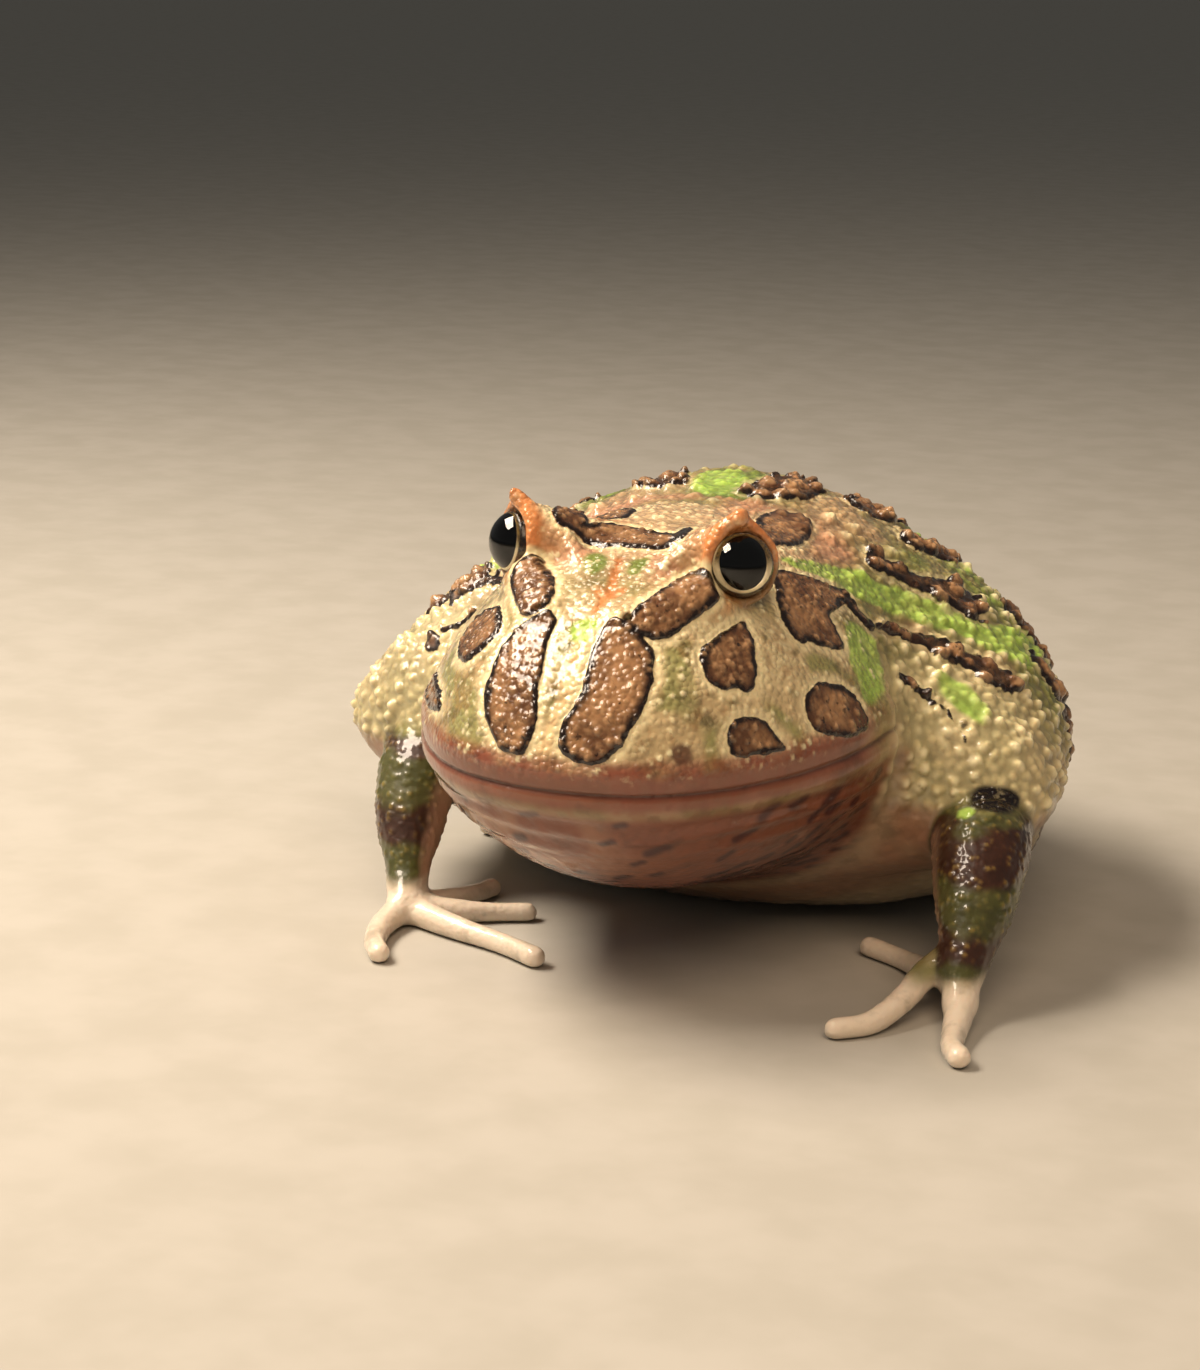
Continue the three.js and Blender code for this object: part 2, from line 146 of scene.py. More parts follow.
# how softly each form of the head joins or cuts the rest, and how far round an eye or nostril they reach
headJoins = {
    "ridge": 2.5, "socket": 1.3, "horn": 1.0, "crest": 1.5, "leftTip": 0.6, "opening": 0.5,
    "upperLid": 0.8, "lowerLid": 0.4, "nostrilRim": 1.2, "nostrilPit": 0.35,
}
headReach = {"lids": 14, "nostril": 6}
digitSink = 0.15
limbs = {
    "armLeft": [(26, 3, 16.4, 7), (32.5, -8, 15.8, 5.5), (34.5, -12.6, 14.8, 4.8)],
    "forearmLeft": [(33.8, -11.5, 15, 4.6), (34.9, -15.4, 13.4, 4.8), (35.7, -18.8, 10.8, 4.2),
                    (36.2, -22.2, 7.6, 3), (36.3, -24.6, 5.2, 2.3)],
    "palmLeft": [(36.3, -24.4, 4.8, 2), (36.9, -27.2, 2.6, 1.8)],
    "armRight": [(-27, 1, 19, 7), (-31, -9, 17.4, 5.4), (-31.6, -12.6, 15, 4.6)],
    "forearmRight": [(-31.2, -11.2, 15.8, 4), (-31.6, -14, 13.6, 4.3), (-31, -16.6, 10, 3.9),
                     (-29.8, -19.6, 5.8, 2.5), (-29.2, -21, 4, 2.2)],
    "palmRight": [(-29.6, -20, 4.4, 2), (-28.4, -22.8, 2.4, 2.1)],
}
# digits lie on the floor where they have no height of their own
fingers = {
    "Left": [
        [(37, -26.8, 2.2, 1.7), (38, -32.2, 1.35), (38.8, -35.8, 1.15), (40.4, -38.6, 1.25)],
        [(34.8, -23.2, 6, 1.7), (32.6, -25.2, 4.3, 1.5), (31.4, -29.2, 2.5, 1.35), (29.4, -33.6, 1.25),
         (26.8, -36.4, 1.2)],
        [(35.2, -24, 3.8, 1.7), (31.4, -18.6, 2.3, 1.4), (26.8, -13.2, 1.2), (21.8, -10.4, 1.2)],
        [(36, -24.4, 3, 1.7), (34.6, -20, 1.4), (33.8, -16, 1.15), (33.6, -12.6, 1.15)],
    ],
    "Right": [
        [(-28.8, -22.4, 1.7), (-28.6, -28, 1.4), (-27, -33, 1.2), (-24.8, -36.2, 1.2)],
        [(-28, -22.6, 1.7), (-21.5, -25.2, 1.4), (-14.6, -27.4, 1.2), (-9.3, -30.1, 1.25)],
        [(-28, -22, 1.7), (-22.6, -19.8, 1.35), (-19.5, -17.9, 1.15), (-16.5, -16.3, 1.15)],
        [(-28.4, -21.6, 1.7), (-25.8, -16.4, 1.35), (-24.5, -12.6, 1.15), (-23.9, -10, 1.15)],
    ],
}
hindLeg = {
    "shift": -2.4,
    "thigh": [(13, 32, 14.5, 9.5), (22.5, 26, 12.6, 9.6), (28.6, 14.5, 10.4, 7.4)],
    "shank": [(28.8, 13.4, 9.2, 5.8), (28.7, 22, 9, 5.6), (25.8, 32.5, 7.4, 4.6), (22.4, 40, 5, 3.6)],
    "heel": [(22.4, 40.6, 3.2, 3), (26, 34.4, 2.4, 2.5), (28, 28.6, 2, 2.2)],
    "toes": [
        [(27.6, 28.8, 2), (26.6, 24.4, 1.4), (26.4, 21, 1.15)],
        [(28, 28.8, 2), (27.8, 22.6, 1.5), (27.8, 17.8, 1.2)],
        [(28.1, 28.8, 2), (28.8, 21.6, 1.5), (29.4, 16.2, 1.25), (29.6, 13, 1.2)],
        [(28.2, 28.6, 2.1), (29.8, 22, 1.6), (31.4, 16, 1.3), (32.3, 12, 1.2)],
        [(28.8, 29.4, 2), (30.6, 25, 1.4), (31.4, 21.4, 1.15)],
    ],
}
limbJoins = {
    "arm": 2.5, "forearm": 1.5, "palm": 1.0, "digit": 0.8, "thigh": 2.0, "shank": 1.0, "heel": 0.9,
    "trunk": 1.1, "floor": 0.25,
}


def smoothMin(a, b, softness):
    if softness == 0:
        return np.minimum(a, b)
    overlap = np.maximum(softness - np.abs(a - b), 0) / softness
    return np.minimum(a, b) - overlap * overlap * softness / 4


def smoothMax(a, b, softness):
    return -smoothMin(-a, -b, softness)


def smoothStep(low, high, value):
    t = np.clip((value - low) / (high - low), 0, 1)
    return t * t * (3 - 2 * t)


def bent(stations, steps=4):
    # more stations along a smooth curve through the given ones
    s = np.array(stations, float)
    padded = np.vstack([2 * s[0] - s[1], s, 2 * s[-1] - s[-2]])
    made = []
    for i in range(len(s) - 1):
        a, b, c, d = padded[i:i + 4]
        for k in range(steps):
            t = k / steps
            made.append(0.5 * (2 * b + (c - a) * t + (2 * a - 5 * b + 4 * c - d) * t ** 2
                               + (3 * b - a - 3 * c + d) * t ** 3))
    return np.array(made + [s[-1]])


def digitTube(stations):
    return bent([at if len(at) == 4 else (at[0], at[1], at[2] - digitSink, at[2]) for at in stations])


def mirrorFold(p):
    # both sides laid onto the left one
    folded = p.copy()
    folded[:, 0] = np.abs(folded[:, 0])
    return folded


def alongSegment(p, a, b):
    # how far from a to b the nearest place of the segment lies, from 0 to 1, and the distance to it
    step = b - a
    share = np.clip((p - a) @ step / (step @ step), 0, 1)
    return share, np.linalg.norm(p - a - share[:, None] * step, axis=1)


def lumpDistance(p, lump):
    x = np.abs(p[:, 0] - lump["centre"][0]) / lump["side"]
    dy = p[:, 1] - lump["centre"][1]
    dz = p[:, 2] - lump["centre"][2]
    depth = np.where(dy < 0, lump["front"], lump["back"])
    height = np.where(dz > 0, lump["up"], lump["down"])
    power = np.where(dz > 0, lump["rise"], lump["fall"])
    y = np.abs(dy) / depth
    z = np.abs(dz) / height
    plan = x ** lump["plan"] + y ** lump["plan"] + 1e-9
    total = plan ** (power / lump["plan"]) + z ** power
    scale = total ** (1 / power - 1)
    planScale = scale * plan ** (power / lump["plan"] - 1)
    slope = np.sqrt((planScale * x ** (lump["plan"] - 1) / lump["side"]) ** 2
                    + (planScale * y ** (lump["plan"] - 1) / depth) ** 2
                    + (scale * z ** (power - 1) / height) ** 2)
    gentlest = 0.35 / min(lump[k] for k in ("side", "front", "back", "up", "down"))
    return (total ** (1 / power) - 1) / np.maximum(slope, gentlest)


def tubeDistance(p, stations, far=8.0):
    s = np.asarray(stations, float)
    margin = s[:, 3].max() + far
    near = np.all((p > s[:, :3].min(0) - margin) & (p < s[:, :3].max(0) + margin), axis=1)
    distance = np.full(len(p), far)
    q = p[near]
    best = np.full(len(q), far)
    for a, b in zip(s[:-1], s[1:]):
        share, away = alongSegment(q, a[:3], b[:3])
        best = np.minimum(best, away - (a[3] + share * (b[3] - a[3])))
    distance[near] = best
    return distance


def ballDistance(p, centre, radius):
    return np.linalg.norm(p - np.asarray(centre), axis=1) - radius


def gazeOf(side, turn, lift):
    turn, lift = radians(turn), radians(lift)
    return np.array((side * sin(turn) * cos(lift), -cos(turn) * cos(lift), sin(lift)))


lidGaze = gazeOf(1, eye["gazeTurn"], eye["gazeLift"])
lidSide = np.cross((0, 0, 1), lidGaze)
lidSide /= np.linalg.norm(lidSide)
lidUp = np.cross(lidGaze, lidSide)


def lidRim(degreesRound, spread=1.0, reach=None):
    # a point on the edge of the lids: 0 is the back corner, 90 the top, 180 the front corner
    turn = radians(degreesRound)
    reach = lid["rimReach"] if reach is None else reach
    return (np.array(eye["centre"]) + lidGaze * reach
            + lid["rim"] * spread * (cos(turn) * lidSide + sin(turn) * lidUp))


hornTip = np.array(headTubes["horn"][-1][:3])
upperLid = bent([
    (*lidRim(190, 1.0, 0.3), 0.3),
    (*lidRim(165, 1.03), 0.42),
    (*lidRim(138, 1.12), 0.5),
    (*(lidRim(112, 1.2) * 0.68 + hornTip * 0.32), 0.48),
    (*(lidRim(90, 1.2) * 0.3 + hornTip * 0.7), 0.3),
    (*(lidRim(68, 1.12) * 0.72 + hornTip * 0.28), 0.34),
    (*lidRim(45, 1.02), 0.3),
    (*lidRim(20, 1.0), 0.28),
    (*lidRim(-6, 1.0, 0.3), 0.25),
])
lowerLid = bent([
    (*lidRim(184, 1.0, 0.3), 0.32),
    (*lidRim(212, 1.06), 0.62),
    (*lidRim(242, 1.03), 0.5),
    (*lidRim(270, 1.0), 0.4),
    (*lidRim(300, 1.0), 0.36),
    (*lidRim(330, 1.0), 0.3),
    (*lidRim(356, 1.0, 0.3), 0.26),
])


def trunkDistance(p):
    distance = np.full(len(p), 1e3)
    for lump in trunkLumps.values():
        distance = smoothMin(distance, lumpDistance(p, lump), lump["blend"])
    folded = mirrorFold(p)
    for name in ("browRidge", "snoutRidge"):
        distance = smoothMin(distance, tubeDistance(folded, headTubes[name]), headJoins["ridge"])
    return distance


def addLids(p, distance):
    # sockets, horns and lids on both sides; one horn tip is on the left alone
    folded = mirrorFold(p)
    centre = np.array(eye["centre"])
    near = np.linalg.norm(folded - centre, axis=1) < headReach["lids"]
    q, d = folded[near], distance[near]
    socket = ballDistance(q, centre - lidGaze * lid["setback"], eye["radius"] + lid["thickness"])
    d = smoothMin(d, socket, headJoins["socket"])
    d = smoothMin(d, tubeDistance(q, headTubes["horn"]), headJoins["horn"])
    d = smoothMin(d, tubeDistance(q, headTubes["crest"]), headJoins["crest"])
    d = smoothMin(d, tubeDistance(p[near], headTubes["leftTip"]), headJoins["leftTip"])
    opening = ballDistance(q, centre + lidGaze * eye["radius"], lid["opening"])
    d = smoothMax(d, -opening, headJoins["opening"])
    d = smoothMin(d, tubeDistance(q, upperLid), headJoins["upperLid"])
    distance[near] = smoothMin(d, tubeDistance(q, lowerLid), headJoins["lowerLid"])


def addNostrils(p, distance):
    folded = mirrorFold(p)
    hole = np.array(nostril["centre"])
    near = np.linalg.norm(folded - hole, axis=1) < headReach["nostril"]
    q, bore = folded[near], nostril["bore"]
    d = smoothMin(distance[near], ballDistance(q, hole, nostril["rim"]), headJoins["nostrilRim"])
    outward = np.array(nostril["outward"]) / np.linalg.norm(nostril["outward"])
    pit = tubeDistance(q, [
        (*(hole + outward * nostril["rim"]), bore * 1.5),
        (*hole, bore),
        (*(hole - outward * nostril["depth"]), bore * 0.6),
    ])
    distance[near] = smoothMax(d, -pit, headJoins["nostrilPit"])


def hindTube(stations, sign):
    # a tube drawn for the left hind leg, carried to its own side
    s = np.array(stations, float)
    s[:, 0] = sign * s[:, 0] + hindLeg["shift"]
    return s


def limbParts():
    # every tube of the four limbs as (name, how softly it joins, stations)
    parts = []
    for side, sign in (("Left", 1), ("Right", -1)):
        for name, part in (("arm", "arm"), ("forearm", "forearm"), ("hand", "palm")):
            parts.append((name + side, limbJoins[part], bent(limbs[part + side])))
        for finger in fingers[side]:
            parts.append(("hand" + side, limbJoins["digit"], digitTube(finger)))
        for name, part in (("thigh", "thigh"), ("shank", "shank"), ("foot", "heel")):
            parts.append((name + side, limbJoins[part], hindTube(bent(hindLeg[part]), sign)))
        for toe in hindLeg["toes"]:
            parts.append(("foot" + side, limbJoins["digit"], hindTube(digitTube(toe), sign)))
    return parts


allLimbs = limbParts()


def fleshDistance(p):
    distance = trunkDistance(p)
    addLids(p, distance)
    addNostrils(p, distance)
    for side in ("Left", "Right"):
        for names in (("arm", "forearm", "hand"), ("thigh", "shank", "foot")):
            limb = np.full(len(p), 9.0)
            for name, softness, stations in allLimbs:
                if name in [part + side for part in names]:
                    limb = smoothMin(limb, tubeDistance(p, stations), softness)
            distance = smoothMin(distance, limb, limbJoins["trunk"])
    return smoothMax(distance, -p[:, 2], limbJoins["floor"])


# From the distance to a mesh of quads: it is measured on a grid, in blocks of points where flesh is near
grid = {
    "pitch": 0.5,
    "quickPitch": 0.9,
    "low": (-51.5, -51.5, -2),
    "high": (52, 54, 54),
    "block": 4,  # points along each side of a block
    "slack": 1.3,  # a block is measured in full within this many times its own reach of the surface,
    "margin": 0.6,  # and these millimetres more
    "batches": 12,  # so that one batch fits in memory
}


def fleshLevels(pitch):
    low, high, block = np.array(grid["low"], float), np.array(grid["high"], float), grid["block"]
    blocks = np.ceil((high - low) / (pitch * block)).astype(int)
    corners = np.stack(np.meshgrid(*[np.arange(n) for n in blocks], indexing="ij"), -1).reshape(-1, 3)
    middles = low + (corners * block + (block - 1) / 2) * pitch
    rough = fleshDistance(middles)
    close = np.abs(rough) < grid["slack"] * (block / 2) * pitch * sqrt(3) + grid["margin"]
    levels = rough.reshape(blocks)
    for axis in range(3):
        levels = np.repeat(levels, block, axis)
    inBlock = np.stack(np.meshgrid(*[np.arange(block)] * 3, indexing="ij"), -1).reshape(-1, 3)
    fine = (corners[close][:, None, :] * block + inBlock[None]).reshape(-1, 3)
    batches = np.array_split(fine, grid["batches"])
    exact = np.concatenate([fleshDistance(low + batch * pitch) for batch in batches])
    levels[fine[:, 0], fine[:, 1], fine[:, 2]] = exact
    return levels, low


def surfaceNet(levels, low, pitch):
    # one point in each cell that the surface crosses, and one quad across each crossed edge of the grid
    inside = levels < 0
    size = np.array(levels.shape) - 1
    cube = [np.array(corner) for corner in product((0, 1), repeat=3)]
    filled = np.zeros(size, np.int8)
    for c in cube:
        filled += inside[c[0]:c[0] + size[0], c[1]:c[1] + size[1], c[2]:c[2] + size[2]]
    active = (filled > 0) & (filled < 8)
    number = np.full(active.shape, -1)
    cells = np.argwhere(active)
    number[active] = np.arange(len(cells))
    total, crossings = np.zeros((len(cells), 3)), np.zeros(len(cells))
    for a in cube:
        for axis in range(3):
            if a[axis]:
                continue
            b = a.copy()
            b[axis] = 1
            va = levels[tuple((cells + a).T)]
            vb = levels[tuple((cells + b).T)]
            crosses = (va < 0) != (vb < 0)
            t = np.where(crosses, va / np.where(crosses, va - vb, 1), 0)
            total += np.where(crosses[:, None], a + t[:, None] * (b - a), 0)
            crossings += crosses
    points = low + pitch * (cells + total / crossings[:, None])
    quads = []
    for axis in range(3):
        u, v = (axis + 1) % 3, (axis + 2) % 3
        first = [slice(0, -1)] * 3
        first[u] = first[v] = slice(1, -1)
        second = list(first)
        second[axis] = slice(1, None)
        start = inside[tuple(first)]
        changed = np.argwhere(start != inside[tuple(second)])
        outwards = start[tuple(changed.T)]
        changed[:, u] += 1
        changed[:, v] += 1
        alongU, alongV = np.eye(3, dtype=int)[u], np.eye(3, dtype=int)[v]
        ring = [changed, changed - alongU, changed - alongU - alongV, changed - alongV]
        four = np.stack([number[tuple(c.T)] for c in ring], 1)
        four[~outwards] = four[~outwards][:, ::-1]
        quads.append(four)
    return points, np.concatenate(quads)


def setPoints(mesh, points):
    mesh.vertices.foreach_set("co", np.ascontiguousarray(points, np.float32).ravel())


def readVectors(source, what):
    values = np.empty(len(source) * 3, np.float32)
    source.foreach_get(what, values)
    return values.reshape(-1, 3).astype(float)


def addAttribute(mesh, name, kind, columns):
    # values at every point, for the materials
    values = np.column_stack(columns).astype(np.float32).ravel()
    made = mesh.attributes.new(name, kind, "POINT")
    made.data.foreach_set("color" if kind == "FLOAT_COLOR" else "vector", values)


def shadeSmooth(mesh):
    mesh.polygons.foreach_set("use_smooth", np.ones(len(mesh.polygons), bool))
    mesh.update()


def meshOf(name, points, quads):
    mesh = bpy.data.meshes.new(name)
    mesh.vertices.add(len(points))
    setPoints(mesh, points)
    mesh.loops.add(quads.size)
    mesh.loops.foreach_set("vertex_index", np.ascontiguousarray(quads, np.int32).ravel())
    mesh.polygons.add(len(quads))
    mesh.polygons.foreach_set("loop_start", np.arange(0, quads.size, quads.shape[1], dtype=np.int32))
    mesh.update(calc_edges=True)
    mesh.validate()
    return mesh


def subdivided(mesh):
    holder = linked("working", mesh)
    finer = holder.modifiers.new("finer", "SUBSURF")
    finer.levels = 1
    graph = bpy.context.evaluated_depsgraph_get()
    made = bpy.data.meshes.new_from_object(holder.evaluated_get(graph))
    bpy.data.objects.remove(holder)
    bpy.data.meshes.remove(mesh)
    return made


pull = {
    "passes": 2,
    "step": 0.02,  # millimetres between the two places that give the slope
    "flattest": 0.2,
    "farthest": 0.15,  # millimetres that a point may move in one pass
}


def pulledToFlesh(points, chosen):
    # moves the chosen points straight onto the flesh, which brings back edges that the net rounded
    step, farthest = pull["step"], pull["farthest"]
    for _ in range(pull["passes"]):
        q = points[chosen]
        here = fleshDistance(q)
        slope = np.stack([fleshDistance(q + step * axis) - here for axis in np.eye(3)], 1) / step
        steepness = np.maximum((slope ** 2).sum(1), pull["flattest"])
        points[chosen] = q - np.clip(here / steepness, -farthest, farthest)[:, None] * slope
    return points


# Noise that is the same at every run, from whole numbers that are mixed by large primes
hashing = {
    "primes": (2654435761, 2246822519, 3266489917),
    "seedPrime": 668265263,
    "mixes": ((15, 739982445), (12, 695872825)),
    "lastShift": 15,
    "range": 2 ** 32,
}


def hashed(cells, seed):
    # a number from 0 to 1 for each cell
    c = cells.astype(np.int64).astype(np.uint32)
    h = np.uint32((seed * hashing["seedPrime"]) % hashing["range"])
    for axis, prime in enumerate(hashing["primes"]):
        h = h ^ c[..., axis] * np.uint32(prime)
    for shift, factor in hashing["mixes"]:
        h = (h ^ (h >> np.uint32(shift))) * np.uint32(factor)
    return (h ^ (h >> np.uint32(hashing["lastShift"]))) / float(hashing["range"])


def softNoise(p, size, seed):
    # smooth noise from -1 to 1 whose lumps are about as wide as size
    q = p / size
    whole = np.floor(q)
    t = q - whole
    t = t * t * (3 - 2 * t)
    total = np.zeros(len(p))
    for corner in product((0, 1), repeat=3):
        weights = np.where(corner, t, 1 - t)
        total += weights[:, 0] * weights[:, 1] * weights[:, 2] * hashed(whole + corner, seed)
    return total * 2 - 1


def pebbles(p, size, seed, scatter=0.8):
    # distance to the nearest of a scatter of points about size apart, and a number from 0 to 1 for that point
    q = p / size
    whole = np.floor(q)
    nearest, number = np.full(len(p), 9.0), np.zeros(len(p))
    for shift in product((-1, 0, 1), repeat=3):
        cell = whole + shift
        away = np.zeros(len(p))
        for axis in range(3):
            spot = cell[:, axis] + 0.5 + scatter * (hashed(cell, seed + axis) - 0.5)
            away += (q[:, axis] - spot) ** 2
        away = np.sqrt(away)
        nearer = away < nearest
        number = np.where(nearer, hashed(cell, seed + 7), number)
        nearest = np.where(nearer, away, nearest)
    return nearest * size, number


# Markings that the photograph shows, as outlines picked in its pixels from the top left corner
photo = {"width": 1200, "height": 1370}
facePixels = {
    "snoutLeft": [(607, 619), (589, 660), (577, 700), (559, 725), (561, 752), (575, 762), (595, 766),
                  (621, 752), (630, 727), (643, 712), (653, 688), (655, 651), (640, 632), (620, 617)],
    "snoutRight": [(552, 608), (530, 618), (510, 635), (495, 660), (485, 688), (485, 718), (492, 735),
                   (501, 750), (522, 757), (533, 745), (538, 715), (538, 688), (543, 670), (547, 645),
                   (556, 620)],
    "loreLeft": [(618, 628), (630, 612), (655, 594), (687, 573), (708, 569), (716, 585), (719, 599),
                 (705, 612), (676, 635), (655, 640), (635, 634)],
    "loreRight": [(513, 569), (524, 557), (535, 553), (547, 566), (556, 580), (554, 600), (545, 612),
                  (524, 617), (517, 603), (510, 589)],
    "cheekLeft": [(745, 619), (748, 630), (754, 642), (757, 665), (755, 688), (745, 693), (738, 686),
                  (724, 690), (710, 684), (700, 665), (700, 650), (712, 638), (722, 630)],
    "cheekRight": [(501, 605), (502, 618), (500, 632), (492, 642), (484, 648), (472, 658), (463, 662),
                   (457, 657), (459, 645), (463, 635), (475, 619), (490, 608)],
    "lipLeft": [(731, 722), (740, 716), (762, 718), (777, 734), (786, 750), (770, 755), (750, 757),
                (731, 757), (727, 740)],
    "jawLeft": [(821, 680), (812, 686), (804, 697), (807, 712), (811, 727), (827, 737), (847, 738),
                (866, 731), (864, 712), (855, 697), (841, 685)],
    "templeLeft": [(772, 571), (785, 569), (800, 574), (820, 582), (841, 588), (852, 599), (840, 608),
                   (829, 614), (837, 630), (847, 648), (838, 652), (820, 646), (809, 640), (804, 645),
                   (792, 637), (784, 620), (776, 605)],
    "shoulderRight": [(495, 565), (488, 575), (475, 585), (463, 598), (452, 610), (449, 603),
                      (458, 590), (474, 574), (488, 564)],
    "neckRight": [(432, 632), (440, 636), (443, 645), (438, 652), (430, 652), (425, 645)],
    "crownLeft": [(755, 516), (775, 512), (801, 516), (812, 523), (812, 532), (801, 545), (785, 547),
                  (769, 546), (760, 538), (757, 528)],
    "crownBar": [(557.5, 507), (566, 513.5), (576, 522), (593.5, 525), (610.6, 523.5), (631, 527),
                 (651.7, 532), (672, 533.8), (680.8, 535.5), (675.7, 544), (655, 551), (631, 547.5),
                 (607, 547.5), (586.7, 542.8), (571, 531.5), (559, 517.5)],
    "lipRight": [(438, 682), (442, 695), (440, 712), (434, 712), (428, 700)],
}
wartyPixels = {
    "chainLeft": [(864, 628), (875, 631), (887, 637), (916, 645), (956, 665), (979, 680), (1010, 700),
                  (1025, 691), (996, 665), (975, 654), (956, 645), (935, 638), (913, 631), (898, 625),
                  (884, 619)],
    "bandLeft": [(861, 553), (872, 551), (884, 556), (897, 565), (910, 573), (930, 576), (950, 579),
                 (967, 590), (979, 602), (984, 622), (972, 622), (959, 614), (943, 604), (927, 594),
                 (910, 587), (893, 579), (878, 574), (866, 567)],
    "napeLeft": [(738, 492), (755, 482), (772, 478), (789, 479), (805, 483), (818, 490), (821, 500),
                 (800, 502), (775, 502), (752, 501)],
    "napeRight": [(630, 488), (645, 481), (662, 476), (685, 474), (687, 483), (665, 489), (645, 491)],
    "flankOne": [(893, 668), (905, 672), (915, 680), (928, 690), (935, 703), (925, 705), (912, 694),
                 (900, 684)],
    "flankTwo": [(940, 705), (952, 708), (958, 720), (970, 735), (972, 748), (960, 745), (952, 730),
                 (942, 718)],
}
greenPixels = {
    "stripeLeft": [(778, 559), (795, 560), (812, 562), (835, 567), (858, 573), (884, 585), (905, 592),
                   (927, 599), (952, 611), (979, 622), (1003, 628), (1025, 634), (1039, 651),
                   (1034, 664), (1022, 668), (1003, 660), (984, 651), (956, 634), (927, 626),
                   (898, 616), (878, 608), (858, 599), (840, 589), (824, 579), (800, 570)],
    "nape": [(689, 487), (695, 478), (703, 473), (725, 471), (749, 473), (745, 481), (738, 487),
             (726, 494), (708, 495)],
    "cheekLeft": [(843, 618), (858, 625), (872, 640), (880, 660), (884, 685), (872, 705), (862, 700),
                  (858, 680), (848, 660), (846, 640)],
    "snout": [(573, 625), (585, 621), (597, 624), (595, 635), (583, 640), (574, 637)],
    "flankLeft": [(930, 668), (950, 675), (972, 690), (990, 712), (985, 728), (968, 720), (950, 705),
                  (935, 690)],
}
browPixels = {
    "left": [(630, 560), (645, 556), (652, 560), (640, 572), (632, 577), (627, 570)],
    "right": [(583, 560), (597, 552), (608, 556), (607, 568), (592, 576), (584, 570)],
}
stripePixels = [(573, 640), (567, 660), (560, 685), (553, 710), (544, 730), (534, 757), (556, 757),
                (560, 727), (574, 702), (583, 675), (592, 650), (603, 622), (590, 618), (578, 620)]
# creases of the forehead and a dot on the upper lip, as (pixel across, pixel down, half width in millimetres)
creasePixels = [
    [(618, 560, 0.25), (612, 585, 0.3), (604, 600, 0.3), (596, 612, 0.2)],
    [(596, 588, 0.2), (604, 600, 0.3), (612, 596, 0.3), (622, 590, 0.2)],
]
lipDotPixels = [(680, 754, 0.85), (683, 754, 0.85)]


def pictured(pixels, nearest=200, farthest=460, step=0.5):
    # where the lines of sight through pixels of the photograph meet the trunk, or pass closest to it,
    # as (turn, rise) in degrees seen from the middle of the trunk; further numbers of a point are kept
    place, right, up, back = cameraAxes()
    pixels = np.array(pixels, float)
    focal = view["lens"] / view["sensor"] * photo["height"]
    across = (pixels[:, :1] - photo["width"] / 2) / focal
    down = (pixels[:, 1:2] - photo["height"] / 2) / focal
    sight = across * right - down * up - back
    sight /= np.linalg.norm(sight, axis=1)[:, None]
    reach = np.arange(nearest, farthest, step)
    gaps = trunkDistance((place + reach[:, None] * sight[:, None]).reshape(-1, 3)).reshape(len(pixels), -1)
    row = np.arange(len(pixels))
    inside = np.where((gaps < 0).any(1), (gaps < 0).argmax(1), gaps.argmin(1))
    before, after = gaps[row, inside - 1], gaps[row, inside]
    overshoot = np.where(after < 0, after / (after - before), 0)
    rays = place + (reach[inside] - step * overshoot)[:, None] * sight - trunkCentre
    turn = np.degrees(np.arctan2(rays[:, 0], -rays[:, 1]))
    rise = np.degrees(np.arcsin(rays[:, 2] / np.linalg.norm(rays, axis=1)))
    return [(t, r, *rest) for t, r, rest in zip(turn, rise, pixels[:, 2:])]


# The rest is drawn as (turn, rise) in degrees, with a half width in millimetres along a band
blotches = {name: pictured(outline) for name, outline in facePixels.items()}
blotches["lipRight"] = [(-33, 13)] + blotches["lipRight"] + [(-36, 10)]
blotches["crownSpot"] = [(-24, 53), (-14, 52.5), (-13, 58), (-22, 64), (-44, 66), (-46, 58)]
warty = {name: pictured(outline) for name, outline in wartyPixels.items()}
for name in ("chainLeft", "bandLeft", "flankOne"):
    warty[name.replace("Left", "Right") + "Far"] = [(-turn - 3, rise + 1) for turn, rise in warty[name]]
greens = {name: pictured(outline) for name, outline in greenPixels.items()}
greens["stripeRight"] = [(-turn - 2, rise) for turn, rise in greens["stripeLeft"]]
greens["cheekRight"] = [(-turn, rise) for turn, rise in greens["cheekLeft"]]
browGreens = {name: pictured(outline) for name, outline in browPixels.items()}
snoutStripe = pictured(stripePixels)
creases = [pictured(stations) for stations in creasePixels]
lipDot = pictured(lipDotPixels)
# narrow arms of the bar between the brows and of the left temple blotch, as (turn, rise, half width)
blotchArms = [
    [(-21, 51, 0.9), (-19, 47.5, 1.2), (-14, 44.5, 1.3)],
    [(12.5, 46, 0.8), (15, 50.5, 0.5)],
    [(63.5, 38.5, 0.9), (66.5, 33.5, 0.8), (69, 29.5, 0.8)],
]
# bands of the back that the photograph hides, as (turn, rise, half width), each also on the other side
backBands = [
    [(143, 44, 2.6), (154, 36, 3.2), (160, 28, 2.4)],
    [(128, 38, 1.8), (134, 30, 2.6), (146, 22, 2.2)],
    [(171, 21, 2.2), (170, 12, 3.0), (164, 6, 2.4)],
    [(150, 11, 2.4), (143, 3, 2.8)],
    [(126, 13, 2.4), (131, 4, 2.6)],
    [(112, 8, 2.0), (112, -4, 2.4), (117, -11, 1.8)],
    [(132, -9, 2.2), (144, -11, 2.6)],
    [(160, -8, 2.4), (170, -6, 2.6)],
]


def directions(turn, rise):
    turn, rise = np.radians(turn), np.radians(rise)
    return np.stack([np.sin(turn) * np.cos(rise), -np.cos(turn) * np.cos(rise), np.sin(rise)], -1)


